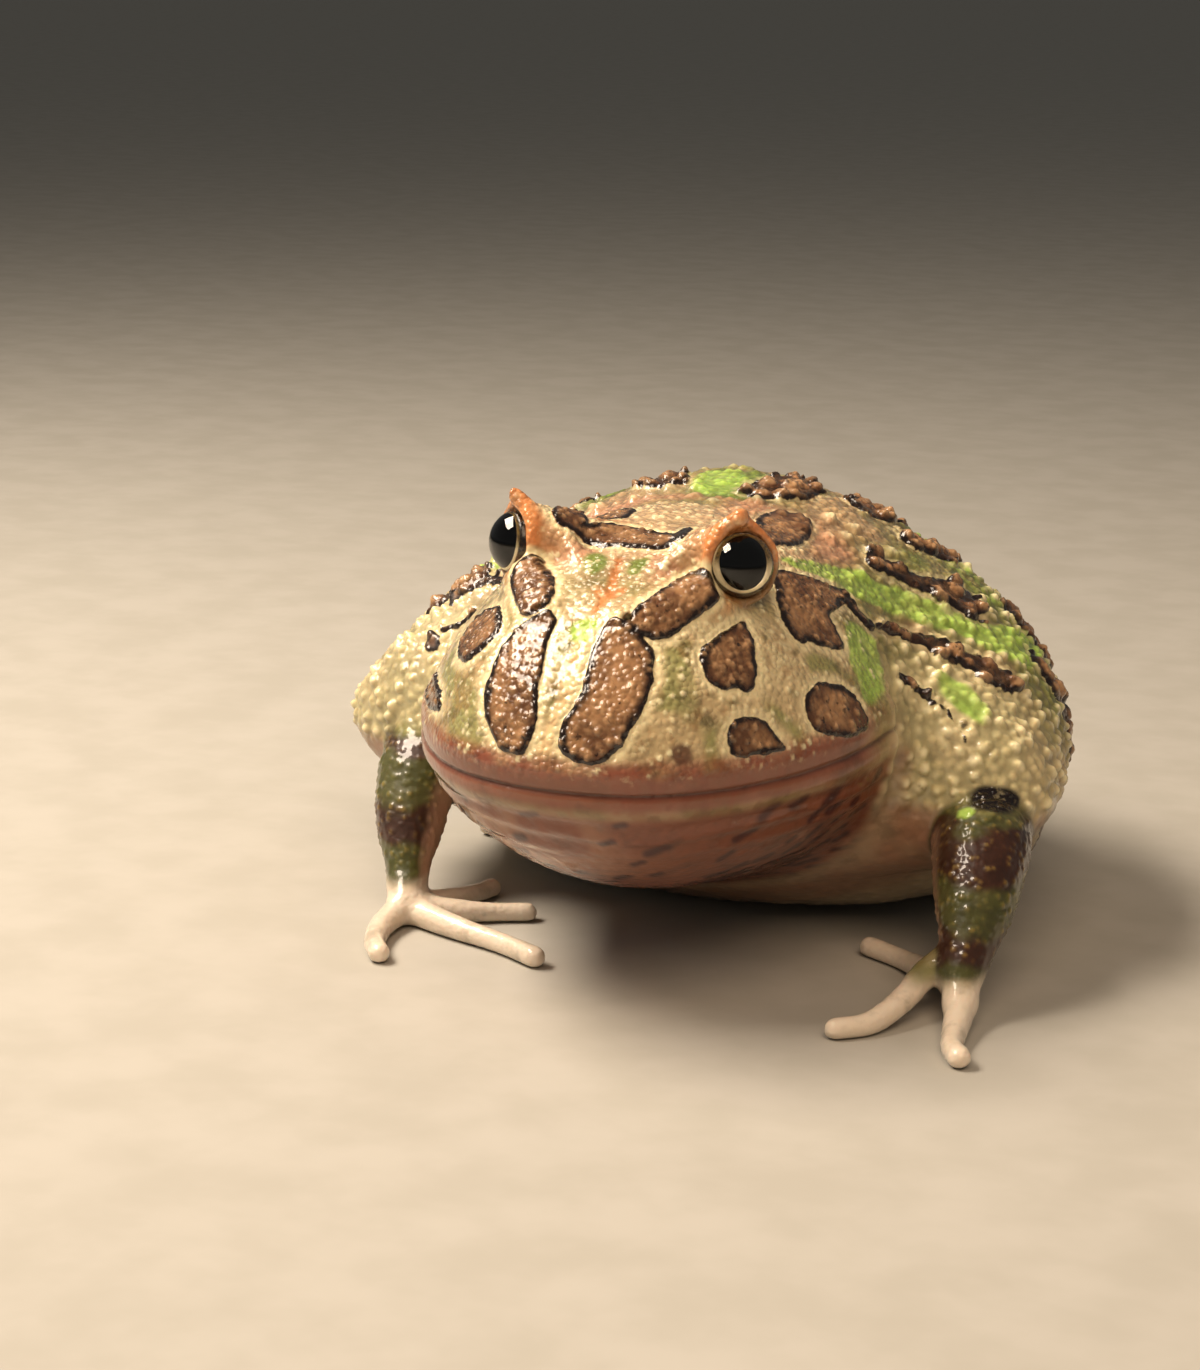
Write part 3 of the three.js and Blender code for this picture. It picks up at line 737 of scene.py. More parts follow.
def flattener(middle):
    # lays directions near middle onto a plane that touches there, one unit being one unit of reach
    across = np.cross(middle, (0, 0, 1) if abs(middle[2]) < 0.8 else (0, 1, 0))
    across /= np.linalg.norm(across)
    over = np.cross(across, middle)
    return lambda rays: np.stack([rays @ across, rays @ over], 1) / (rays @ middle)[:, None]


tracing = {
    "cornerCut": 0.2,  # share of each side that is cut off at its corners
    "margin": 12,  # degrees round an outline that are still measured
    "widest": 1.4,  # radians that an outline and its margin may span from its middle
    "bandReach": 50,  # degrees measured round the middle of a band
    "far": 6.0,  # millimetres given to all that lies further off
}


def middleOf(rays):
    return rays.mean(0) / np.linalg.norm(rays.mean(0))


def outlineDistance(skin, outline):
    # millimetres along the skin to a closed outline with its corners cut, negative inside it
    corners = directions(*np.array(outline, float).T)
    ahead = np.roll(corners, -1, 0)
    cut = tracing["cornerCut"]
    corners = np.stack([(1 - cut) * corners + cut * ahead, cut * corners + (1 - cut) * ahead], 1)
    corners = corners.reshape(-1, 3)
    corners /= np.linalg.norm(corners, axis=1)[:, None]
    middle = middleOf(corners)
    widest = np.arccos(np.clip((corners @ middle).min(), -1, 1))
    near = skin["rays"] @ middle > cos(min(widest + radians(tracing["margin"]), tracing["widest"]))
    flat = flattener(middle)
    q, drawn = flat(skin["rays"][near]), flat(corners)
    best = np.full(len(q), 9.0)
    within = np.zeros(len(q), bool)
    for a, b in zip(drawn, np.roll(drawn, -1, 0)):
        best = np.minimum(best, alongSegment(q, a, b)[1])
        if a[1] != b[1]:
            straddles = (a[1] > q[:, 1]) != (b[1] > q[:, 1])
            crossing = a[0] + (q[:, 1] - a[1]) / (b[1] - a[1]) * (b[0] - a[0])
            within ^= straddles & (q[:, 0] < crossing)
    distance = np.full(len(skin["rays"]), tracing["far"])
    distance[near] = np.minimum(np.where(within, -best, best) * skin["reach"][near], tracing["far"])
    return distance


def bandDistance(skin, stations):
    # the same for a band along stations, each with a half width
    spots = directions(*np.array(stations, float)[:, :2].T)
    widths = np.array(stations, float)[:, 2]
    middle = middleOf(spots)
    near = skin["rays"] @ middle > cos(radians(tracing["bandReach"]))
    flat = flattener(middle)
    q, drawn = flat(skin["rays"][near]), flat(spots)
    best = np.full(len(q), tracing["far"])
    for a, b, wide, nextWide in zip(drawn[:-1], drawn[1:], widths[:-1], widths[1:]):
        share, away = alongSegment(q, a, b)
        best = np.minimum(best, away * skin["reach"][near] - (wide + share * (nextWide - wide)))
    distance = np.full(len(skin["rays"]), tracing["far"])
    distance[near] = best
    return distance


# the line of the mouth, the swell of the lips above and below it, and the slit between them
mouth = {
    "frontY": -47.7, "cornerY": -17.7, "frontZ": 25.7, "rise": 1.9,
    "slitWidth": 0.24, "slitDepth": 0.42,
    "upperLift": 2.0, "upperSpread": 1.7, "upperSwell": 0.42,
    "lowerLift": -1.5, "lowerSpread": 1.1, "lowerSwell": 0.36,
}


def aboveMouth(p):
    fromFront = np.clip((p[:, 1] - mouth["frontY"]) / (mouth["cornerY"] - mouth["frontY"]), 0, 1)
    return p[:, 2] - mouth["frontZ"] - mouth["rise"] * fromFront ** 2


# the arc through the corners of the mouth, in plan
jawArc = {"centreY": -66, "radius": 56}

# Where a region of the skin begins and where it is full: in degrees of turn or rise seen from the
# middle of the trunk, or in millimetres
zones = {
    "head": (2.5, -2.5), "crown": (30, 38), "nape": (44, 52), "back": (14, 30), "flank": (34, 20),
    "cheek": (34, 26), "rear": (95, 135), "behindEyes": (38, 50), "aheadOfRear": (125, 90),
    "besideFront": (42, 54), "besideRear": (104, 88), "besideTop": (26, 16), "besideFoot": (-14, -8),
    "mouthSwell": (-14.5, -18.5), "mouthPaint": (-13.5, -18), "belowLip": (-2.6, -3.4),
    "jawFoldTop": (20, 10), "jawFoldFoot": (-18, -6), "bareFoot": (-8, -12), "bareSide": (95, 80),
    "nearCorner": (-9, -1), "lipFoot": (-2.6, -1.0), "lipTop": (3.7, 1.8), "throatTop": (-1.2, -3.2),
    "throatBack": (3.0, -3.0), "throatLit": (25, -15), "cornerFoot": (-16, -6), "cornerTop": (14, 6),
    "belly": (-8, -22), "shoulder": (20.4, 18.0), "foreRear": (18.5, 15.5), "wrist": (5.6, 3.4),
    "browRidge": (1.9, -0.6), "browFront": (-14, -24), "stripeTop": (6, 12), "underEye": (9.5, 3.5),
    "lidCalm": (0.0, 1.6), "offFloor": (0.15, 0.9),
}
underEyeSpot = (14.5, -31.5, 40)
mouthHalfWidth = 30


def inZone(name, value):
    return smoothStep(*zones[name], value)


def surveyed(points, normals):
    # what every later step asks about the skin, once for each point
    skin = {"points": points, "normals": normals}
    away = points - trunkCentre
    skin["reach"] = np.linalg.norm(away, axis=1)
    skin["rays"] = away / skin["reach"][:, None]
    skin["rise"] = np.degrees(np.arcsin(skin["rays"][:, 2]))
    skin["turn"] = np.degrees(np.arctan2(skin["rays"][:, 0], -skin["rays"][:, 1]))
    skin["behindJaw"] = np.hypot(points[:, 0], points[:, 1] - jawArc["centreY"]) - jawArc["radius"]
    trunkGap = trunkDistance(points)
    parts = {}
    for name, _, stations in allLimbs:
        gapTo = tubeDistance(points, stations)
        parts[name] = np.minimum(parts[name], gapTo) if name in parts else gapTo
    nearest = np.minimum.reduce(list(parts.values()))
    skin["parts"] = {name: smoothStep(-1.0, 1.0, np.minimum(trunkGap, 5) - gapTo)
                     * smoothStep(0.9, 0.0, gapTo - nearest) for name, gapTo in parts.items()}
    skin["limb"] = smoothStep(-0.8, 1.0, np.minimum(trunkGap, 5) - nearest)
    skin["head"] = (1 - skin["limb"]) * inZone("head", skin["behindJaw"])
    skin["trunk"] = (1 - skin["head"]) * (1 - skin["limb"])
    skin["mouth"] = aboveMouth(points)
    folded = mirrorFold(points)
    skin["upperLid"] = tubeDistance(folded, upperLid)
    skin["lowerLid"] = tubeDistance(folded, lowerLid)
    skin["horn"] = tubeDistance(folded, headTubes["horn"])
    skin["brow"] = np.minimum(tubeDistance(folded, headTubes["browRidge"]),
                              tubeDistance(folded, headTubes["snoutRidge"]))
    print("skin surveyed:", len(points), "points")
    return skin


def nearestOutline(skin, outlines):
    return np.minimum.reduce([outlineDistance(skin, outline) for outline in outlines])


def nearestBand(skin, bands):
    return np.minimum.reduce([bandDistance(skin, band) for band in bands])


def bothSides(band, shift=4):
    # a band of the back, and the same on the other side a little further round and lower
    return [[(side * turn + moved, rise - 0.5 * moved, width) for turn, rise, width in band]
            for side, moved in ((1, 0), (-1, shift))]


def drawMarkings(skin):
    # signed distances to every kind of marking, in millimetres, pushed in and out by noise
    p = skin["points"]
    wobble = softNoise(p, 1.6, 11) * 0.22 + softNoise(p, 0.7, 12) * 0.08
    ragged = softNoise(p, 3.4, 13) * 0.7 + softNoise(p, 1.4, 14) * 0.35
    clear = skin["limb"] * 6
    alongWarts = 0.35 - 0.95 * skin["domes"]["blotchWart"] + wobble
    face = np.minimum(nearestOutline(skin, blotches.values()), nearestBand(skin, blotchArms)) + wobble
    wart = nearestOutline(skin, warty.values()) + alongWarts + 0.3 * ragged
    bands = [side for band in backBands for side in bothSides(band)]
    back = nearestBand(skin, bands) + ragged + alongWarts
    skin["faceBlotch"] = face + clear
    skin["backBlotch"] = np.minimum(wart, back) + clear
    trunkBlotches = np.minimum.reduce([face, wart, back]) + clear
    skin["blotch"] = np.minimum(trunkBlotches, limbBlotches(skin))
    skin["green"] = nearestOutline(skin, greens.values()) + ragged * 0.5 + clear
    skin["browGreen"] = nearestOutline(skin, browGreens.values()) + wobble
    skin["stripe"] = outlineDistance(skin, snoutStripe) + wobble
    skin["crease"] = nearestBand(skin, creases) + 0.5 * wobble
    skin["lipDot"] = bandDistance(skin, lipDot) + wobble
    print("markings drawn:", len(blotches) + len(warty) + len(bands), "blotches")


# brown bands across the forelegs as lowest and highest point, and along the folded hind legs
# as where they start; the fold is the wet hollow between the left flank and foreleg, painted near-black for
# the arm's dark band and the shade in the hollow
legMarks = {
    "foreLeft": [(6.0, 8.9), (13.3, 17.8)],
    "foreRight": [(7.8, 12.0), (17.5, 19.5)],
    "thigh": (14, 25, 34),
    "shank": (17, 26.5, 35.5),
    "foot": (28, 36),
    "hindMiddle": 1.6,
    "hindHalf": 1.7,
    "far": 6.0,
    "foreThinning": 2.4,
    "fold": {"centre": (34.8, -11.6, 19.7), "reach": (2.5, 3.2, 1.35)},
    "foldGreen": {"from": (-1.6, -3.4, -1.0), "edge": (1.3, 0.7)},
}


def limbBlotches(skin):
    # the bands of the hind legs; those of the forelegs and the fold are kept apart, for the paint
    p, far = skin["points"], legMarks["far"]
    ragged = softNoise(p, 2.6, 21) * 0.8 + softNoise(p, 1.1, 22) * 0.3
    hindBand, foreBand = np.full(len(p), far), np.full(len(p), far)
    for side in ("Left", "Right"):
        fore = np.maximum(skin["parts"]["arm" + side], skin["parts"]["forearm" + side])
        behind = legMarks["foreThinning"] * smoothStep(-0.1, 0.7, skin["normals"][:, 1])
        for low, high in legMarks["fore" + side]:
            band = np.abs(p[:, 2] - (low + high) / 2) - (high - low) / 2
            foreBand = np.minimum(foreBand, np.maximum(band + ragged + behind, (0.5 - fore) * far))
        for name in ("thigh", "shank", "foot"):
            offLimb = (0.5 - skin["parts"][name + side]) * far
            for start in legMarks[name]:
                band = np.abs(p[:, 1] - start - legMarks["hindMiddle"]) - legMarks["hindHalf"]
                hindBand = np.minimum(hindBand, np.maximum(band + ragged, offLimb))
    fold = legMarks["fold"]
    hollow = np.linalg.norm((p - fold["centre"]) / fold["reach"], axis=1) - 1
    skin["fold"] = hollow * min(fold["reach"])
    skin["foreBand"] = foreBand
    return hindBand


# Relief. Scattered bumps: how far apart in millimetres, how high, how wide from the middle
bumpKinds = {
    "backWart": {"spacing": 3.3, "height": 0.8, "width": 1.35, "seed": 101},
    "blotchWart": {"spacing": 2.3, "height": 0.95, "width": 1.3, "seed": 111},
    "flankCone": {"spacing": 1.6, "height": 0.8, "width": 0.86, "seed": 121},
    "backGrain": {"spacing": 1.2, "height": 0.34, "width": 0.64, "seed": 131},
    "faceGrain": {"spacing": 0.95, "height": 0.26, "width": 0.48, "seed": 141},
    "limbGrain": {"spacing": 0.85, "height": 0.2, "width": 0.48, "seed": 151},
    "bellyGrain": {"spacing": 1.5, "height": 0.08, "width": 0.75, "seed": 161},
}
relief = {
    "facePlateau": 0.2, "backPlateau": 0.3, "edgeGroove": 0.13, "crease": 0.16, "jawFold": 0.3,
    "chinFold": 0.16, "chinSpacing": 2.4, "chinMiddle": 5.2, "chinReach": 2.6,
    "swell": 0.22, "smallSwell": 0.12, "lidShare": 0.15,
}


def scatterBumps(skin):
    # how far up its bump each point lies, from 0 to 1, and a number from 0 to 1 for each bump
    skin["domes"], skin["lots"] = {}, {}
    for kind, bump in bumpKinds.items():
        nearest, number = pebbles(skin["points"], bump["spacing"], bump["seed"])
        skin["domes"][kind] = np.clip(1 - (nearest / bump["width"]) ** 2, 0, 1)
        skin["lots"][kind] = number
    print("bumps scattered")


def raised(skin, kind, sharp, least, where):
    # the share of its full height that a kind of bump has here; least is the lowest bump's share
    return skin["domes"][kind] ** sharp * (least + (1 - least) * skin["lots"][kind]) * where


def lipRelief(skin):
    # the swell of both lips, the slit between them and the folds of the chin
    p, t = skin["points"], skin["mouth"]
    alongMouth = inZone("mouthSwell", p[:, 1]) * smoothStep(0.9, 0.5, skin["limb"])
    alongMouth = alongMouth * (np.abs(p[:, 0]) < mouthHalfWidth)
    upper = mouth["upperSwell"] * np.exp(-((t - mouth["upperLift"]) / mouth["upperSpread"]) ** 2)
    lower = mouth["lowerSwell"] * np.exp(-((t - mouth["lowerLift"]) / mouth["lowerSpread"]) ** 2)
    slit = mouth["slitDepth"] * np.exp(-(t / mouth["slitWidth"]) ** 2)
    waves = np.sin((t + 0.9 * softNoise(p, 9, 31)) * relief["chinSpacing"])
    fading = np.exp(-((t + relief["chinMiddle"]) / relief["chinReach"]) ** 2)
    return alongMouth * (upper + lower - slit) + relief["chinFold"] * waves * fading * skin["belowLip"]


def jawRelief(skin):
    # folds of loose skin behind the corner of the mouth
    behind = skin["behindJaw"] + 0.6 * softNoise(skin["points"], 5, 32)
    folded = inZone("jawFoldTop", skin["rise"]) * inZone("jawFoldFoot", skin["rise"]) * (1 - skin["limb"])
    profile = np.exp(-((behind + 1.3) / 0.9) ** 2) - np.exp(-(behind / 0.6) ** 2)
    profile += 0.5 * np.exp(-((behind - 1.6) / 0.9) ** 2)
    return relief["jawFold"] * folded * profile


def blotchRelief(skin):
    # blotches stand a little proud inside a groove, and creases are sunk
    raisedFace = relief["facePlateau"] * smoothStep(0.15, -0.3, skin["faceBlotch"])
    raisedBack = relief["backPlateau"] * smoothStep(0.3, -0.8, skin["backBlotch"])
    groove = relief["edgeGroove"] * np.exp(-((skin["blotch"] - 0.1) / 0.2) ** 2) * (1 - 0.7 * skin["limb"])
    return raisedFace + raisedBack - groove - relief["crease"] * smoothStep(0.35, -0.1, skin["crease"])


def raiseRelief(skin):
    p, n, t = skin["points"], skin["normals"], skin["mouth"]
    head, limb, trunk, rise = skin["head"], skin["limb"], skin["trunk"], skin["rise"]
    skin["belowLip"] = inZone("belowLip", t) * head
    height = lipRelief(skin) + jawRelief(skin) + blotchRelief(skin)
    under = smoothStep(0.05, -0.4, n[:, 2])
    bare = inZone("bareFoot", rise) * inZone("bareSide", np.abs(skin["turn"]))
    flank = inZone("flank", rise) * (1 - under) * trunk * (1 - bare)
    back = inZone("back", rise) * trunk
    onBack = smoothStep(0.25, -0.25, skin["backBlotch"])
    onFace = smoothStep(0.2, -0.2, skin["faceBlotch"]) * head
    crown = inZone("crown", rise) * head
    striped = smoothStep(0.3, -0.3, skin["stripe"])
    wet = np.clip(onFace + crown + 1.1 * striped + 0.7 * head, 0, 1) * smoothStep(0.5, 3.0, t)
    hands = sum(skin["parts"][name + side] for name in ("hand", "foot") for side in ("Left", "Right"))
    chosen = (skin["lots"]["backWart"] > 0.4) * (1 - onBack)
    onTrunk = trunk * (1 - 0.8 * under) * (1 - 0.6 * bare)
    shares = {
        "backWart": raised(skin, "backWart", 1.4, 0.4, chosen * (0.85 * back + 0.25 * flank)),
        "blotchWart": raised(skin, "blotchWart", 1.0, 0.55, onBack),
        "flankCone": raised(skin, "flankCone", 1.2, 0.45, flank * (1 - 0.6 * onBack)),
        "backGrain": raised(skin, "backGrain", 1.0, 0.4, onTrunk + 0.45 * head * inZone("nape", rise)),
        "faceGrain": raised(skin, "faceGrain", 1.0, 0.2, wet),
        "limbGrain": raised(skin, "limbGrain", 1.0, 0.4, limb * np.clip(1 - 0.85 * hands, 0, 1)),
        "bellyGrain": raised(skin, "bellyGrain", 1.0, 0.6, np.clip(under * trunk + skin["belowLip"], 0, 1)),
    }
    for kind, share in shares.items():
        height += bumpKinds[kind]["height"] * share
    swells = relief["swell"] * softNoise(p, 6.5, 41) + relief["smallSwell"] * softNoise(p, 3.0, 42)
    height += swells * (trunk + 0.35 * head)
    calm = inZone("lidCalm", np.minimum(skin["upperLid"], skin["lowerLid"]))
    height *= (relief["lidShare"] + (1 - relief["lidShare"]) * calm) * inZone("offFloor", p[:, 2])

    skin["wartTop"] = np.clip(shares["flankCone"] + 0.8 * shares["backWart"], 0, 1)
    skin["grainTop"] = np.clip(0.8 * shares["blotchWart"] + 0.6 * shares["backGrain"]
                               + 0.6 * shares["limbGrain"] + 0.9 * shares["faceGrain"] * onFace, 0, 1)
    # below nought in the valleys between the warts of a blotch
    skin["grainTop"] -= 0.9 * onBack * (1 - skin["domes"]["blotchWart"]) ** 2
    skin["faceTop"] = shares["faceGrain"] * (1 - onFace) * (skin["lots"]["faceGrain"] > 0.5)
    skin["grain"] = np.clip(shares["backGrain"] + shares["limbGrain"] + 0.8 * shares["flankCone"]
                            + 0.6 * shares["backWart"] + 0.6 * shares["faceGrain"], 0, 1)
    skin["wetness"] = np.clip(wet + 0.55 * onBack + 0.4 * back + smoothStep(0.5, -0.5, skin["fold"])
                              + 0.2 * np.clip(hands, 0, 1), 0, 1)
    skin["under"], skin["crown"], skin["bare"] = under, crown, bare
    print("relief raised: up to %.2f mm" % height.max())
    return p + n * height[:, None]


# colours of the living animal, as they look in soft light; throat and lip are also darkened as painted shade,
# and the colours for the rim under the upper lid, the slit and the nostrils are painted shade
colours = {
    "olive": "#988a5e", "oliveGreen": "#7a7d40", "paleEdge": "#e2d3a6", "crownTan": "#c8aa84",
    "crownPink": "#c08a6c", "backTan": "#ba9c76", "brightGreen": "#aace5c", "dullGreen": "#74863c",
    "cheekTan": "#c8b086", "cheekGreen": "#7d8746", "cheekBrown": "#8a6238", "flankOlive": "#c8bb8e",
    "cream": "#eccf9c", "stripeOrange": "#dd9a58", "hornOrange": "#d6864a", "lip": "#7c4030",
    "lipRed": "#84382a", "throat": "#7c4228", "throatPale": "#b48665", "throatMark": "#440e07",
    "belly": "#c9b28e",
    "chocolate": "#5e3f28", "blotchRed": "#98724e", "blotchTop": "#c29c72", "blotchRim": "#150a06",
    "blotchEdge": "#3c2417", "wartCream": "#e6dcb2", "armGreen": "#484a1a", "armBrown": "#3e200e",
    "armGold": "#9c8440", "armPale": "#d0a488", "digit": "#dfd0bc", "footTan": "#a58f66",
    "lowerLid": "#8a6238", "lidUnder": "#6b4a33", "slit": "#4f231a", "nostril": "#4a2a1a",
    "chest": "#a97858", "fleck": "#5f5a34",
}


def linear(code):
    parts = [int(code[i:i + 2], 16) / 255 for i in (1, 3, 5)]
    return [c / 12.92 if c <= 0.04045 else ((c + 0.055) / 1.055) ** 2.4 for c in parts]


def paint(skin, colour, weight):
    skin["colour"] += np.clip(weight, 0, 1)[:, None] * (np.array(linear(colours[colour])) - skin["colour"])


# dashes on the throat: the rows and columns that they keep to and how far they stray, in degrees,
# and their half lengths and half widths in millimetres
throatMarks = {
    "seed": 7,
    "turns": (-76, 80, 6.5),
    "rises": (-42, 0, 4.5),
    "missing": 0.3,
    "jitter": 1.2,
    "length": (0.4, 1.1),
    "width": (0.4, 0.64),
    "fan": {"slant": 30, "middle": -10, "spread": 15, "scatter": 9},
    "reach": 6,
}


def throatDashes(skin):
    # short dull red dashes on the chin and throat that fan out from its middle
    rng = np.random.default_rng(throatMarks["seed"])
    below = skin["head"] * (skin["mouth"] < -1.6)
    found = np.zeros(len(below))
    jitter, fan = throatMarks["jitter"], throatMarks["fan"]
    firstTurn, lastTurn, turnStep = throatMarks["turns"]
    for row, riseMiddle in enumerate(np.arange(*throatMarks["rises"])):
        # every second row is shifted by half a step, so that the dashes keep clear of each other
        for turnMiddle in np.arange(firstTurn + 0.5 * turnStep * (row % 2), lastTurn, turnStep):
            if rng.random() < throatMarks["missing"]:
                continue
            turn = turnMiddle + rng.uniform(-jitter, jitter)
            rise = riseMiddle + rng.uniform(-jitter, jitter)
            fanned = fan["slant"] * np.tanh((turn - fan["middle"]) / fan["spread"])
            slant = radians(fanned + rng.normal(0, fan["scatter"]))
            half, wide = rng.uniform(*throatMarks["length"]), rng.uniform(*throatMarks["width"])
            middle = directions(turn, rise)
            near = (skin["rays"] @ middle > cos(radians(throatMarks["reach"]))) & (below > 0)
            if not near.any():
                continue
            q = flattener(middle)(skin["rays"][near]) * skin["reach"][near][:, None] * (-1, 1)
            lengthways = np.array((cos(slant), sin(slant)))
            along = np.clip(q @ lengthways, -half, half)
            away = np.linalg.norm(q - along[:, None] * lengthways, axis=1)
            found[near] = np.maximum(found[near], smoothStep(wide * 1.6, wide * 0.3, away))
    return found


# sizes and seeds of the noises that break up the paint, from wide to tiny
paintNoises = ((11, 51), (5, 52), (2.2, 53), (0.9, 54))


def paintBack(skin):
    rise, crown, trunk, aside = skin["rise"], skin["crown"], skin["trunk"], np.abs(skin["turn"])
    wide, middling, small, _ = skin["noises"]
    paint(skin, "oliveGreen", 0.6 * smoothStep(-0.2, 0.6, wide + 0.5 * small))
    paint(skin, "backTan", trunk * smoothStep(0.0, 0.5, middling - 0.3 * wide) * 0.8)
    rear = inZone("rear", aside) * (1 - skin["limb"])
    paint(skin, "dullGreen", rear * smoothStep(-0.5, 0.3, wide + 0.4 * small) * 0.9)
    paint(skin, "brightGreen", rear * smoothStep(0.25, 0.55, wide + 0.35 * small) * 0.7)
    behindEyes = inZone("behindEyes", rise) * inZone("aheadOfRear", aside) * (1 - skin["limb"])
    paint(skin, "crownPink", behindEyes * smoothStep(-0.6, 0.5, middling) * 0.7)
    paint(skin, "crownTan", crown * 0.9)
    paint(skin, "crownPink", crown * smoothStep(0.1, 0.7, middling + 0.4 * small) * 0.7)


def paintCheeks(skin):
    # mottled cheeks with a pale patch under each eye, and the pale sides behind them
    p, rise, aside = skin["points"], skin["rise"], np.abs(skin["turn"])
    _, middling, small, tiny = skin["noises"]
    cheek = skin["head"] * inZone("cheek", rise)
    paint(skin, "cheekTan", cheek * 0.85)
    paint(skin, "paleEdge", cheek * smoothStep(2.0, 0.2, skin["blotch"]) * 0.5)
    paint(skin, "paleEdge", cheek * inZone("underEye", ballDistance(mirrorFold(p), underEyeSpot, 0)) * 0.7)
    openCheek = cheek * smoothStep(0.5, 1.6, skin["blotch"])
    paint(skin, "cheekGreen", openCheek * smoothStep(-0.2, 0.3, middling + 0.4 * small) * 0.65)
    brownSpots = 0.7 * small + 0.5 * tiny - 0.2 * middling
    paint(skin, "cheekBrown", openCheek * smoothStep(0.05, 0.4, brownSpots) * 0.5)
    paint(skin, "fleck", openCheek * smoothStep(0.4, 0.65, softNoise(p, 1.3, 55) + 0.3 * tiny) * 0.6)
    beside = inZone("besideFront", aside) * inZone("besideRear", aside) * skin["trunk"]
    paint(skin, "flankOlive", beside * inZone("besideTop", rise) * inZone("besideFoot", rise) * 0.8)


def paintGreens(skin):
    # green patches, the orange brow ridges and the cream stripe down the snout
    p, small, tiny = skin["points"], skin["noises"][2], skin["noises"][3]
    green = smoothStep(0.35, -0.45, skin["green"])
    paint(skin, "brightGreen", green * (0.82 + 0.18 * small))
    paint(skin, "dullGreen", green * smoothStep(0.1, 0.6, tiny + 0.5 * small) * 0.6)
    paint(skin, "dullGreen", smoothStep(0.4, -0.4, skin["browGreen"]) * 0.95)
    ridge = inZone("browRidge", skin["brow"]) * inZone("browFront", p[:, 1]) * (p[:, 2] > 38)
    paint(skin, "hornOrange", ridge * (0.55 + 0.4 * small))
    paint(skin, "cream", smoothStep(0.25, -0.35, skin["stripe"]))
    orange = smoothStep(-0.4, -1.4, skin["stripe"]) * inZone("stripeTop", skin["rise"])
    paint(skin, "stripeOrange", orange * (0.6 + 0.6 * small))
    snoutSpot = outlineDistance(skin, greens["snout"]) + 0.3 * small
    paint(skin, "brightGreen", smoothStep(0.7, 0.0, snoutSpot) * 0.95)
    paint(skin, "hornOrange", smoothStep(0.6, -0.1, skin["crease"]) * 0.8)


def paintMouth(skin):
    # lips, throat with its dashes, belly and the slit of the mouth; painted shade darkens the throat, lip and
    # slit, with painted light on one side of the throat and a painted highlight at the corner
    p, t, rise, limb, head = (skin[name] for name in ("points", "mouth", "rise", "limb", "head"))
    _, middling, small, _ = skin["noises"]
    alongMouth = inZone("mouthPaint", p[:, 1]) * (1 - limb) * (np.abs(p[:, 0]) < mouthHalfWidth)
    nearCorner = inZone("nearCorner", skin["behindJaw"])
    lipBand = inZone("lipFoot", t) * inZone("lipTop", t + 0.6 * small) * alongMouth * (1 - 0.7 * nearCorner)
    # the lip colour is darkened in part as painted shade
    paint(skin, "lip", lipBand * 0.9)
    redLine = np.exp(-((t - 3.0 - 0.3 * small) / 0.8) ** 2)
    paint(skin, "lipRed", redLine * alongMouth * (0.5 - 0.4 * nearCorner))
    throat = inZone("throatTop", t) * inZone("throatBack", skin["behindJaw"] + 2 * middling) * (1 - limb)
    # the throat colour is darkened as painted shade under the chin
    paint(skin, "throat", throat)
    # painted light: pale patches on the frog's right side of the throat, where more light falls; the left
    # keeps the darker colour as painted shade
    lit = smoothStep(-0.1, 0.6, middling + 0.3 * small) * inZone("throatLit", skin["turn"])
    paint(skin, "throatPale", throat * lit * 0.7)
    paint(skin, "throatMark", throatDashes(skin) * throat)
    paint(skin, "throatMark", smoothStep(0.4, -0.4, skin["lipDot"]) * 0.8)
    # painted highlight: a pale line along the skin fold behind the corner of the mouth
    cornerHighlight = np.exp(-((skin["behindJaw"] + 0.9) / 0.9) ** 2)
    cornerHighlight = cornerHighlight * inZone("cornerFoot", rise) * inZone("cornerTop", rise)
    paint(skin, "paleEdge", cornerHighlight * (1 - limb) * 0.75)
    under = skin["under"] * (1 - head) * (1 - limb)
    paint(skin, "belly", np.clip(under * 1.3, 0, 1))
    paint(skin, "belly", inZone("belly", rise) * skin["trunk"] * 0.8)
    paint(skin, "chest", skin["bare"] * skin["trunk"] * (0.85 + 0.2 * small))
    # painted shade: the slit of the mouth is darkened
    paint(skin, "slit", np.exp(-(t / 0.26) ** 2) * alongMouth * 0.7)


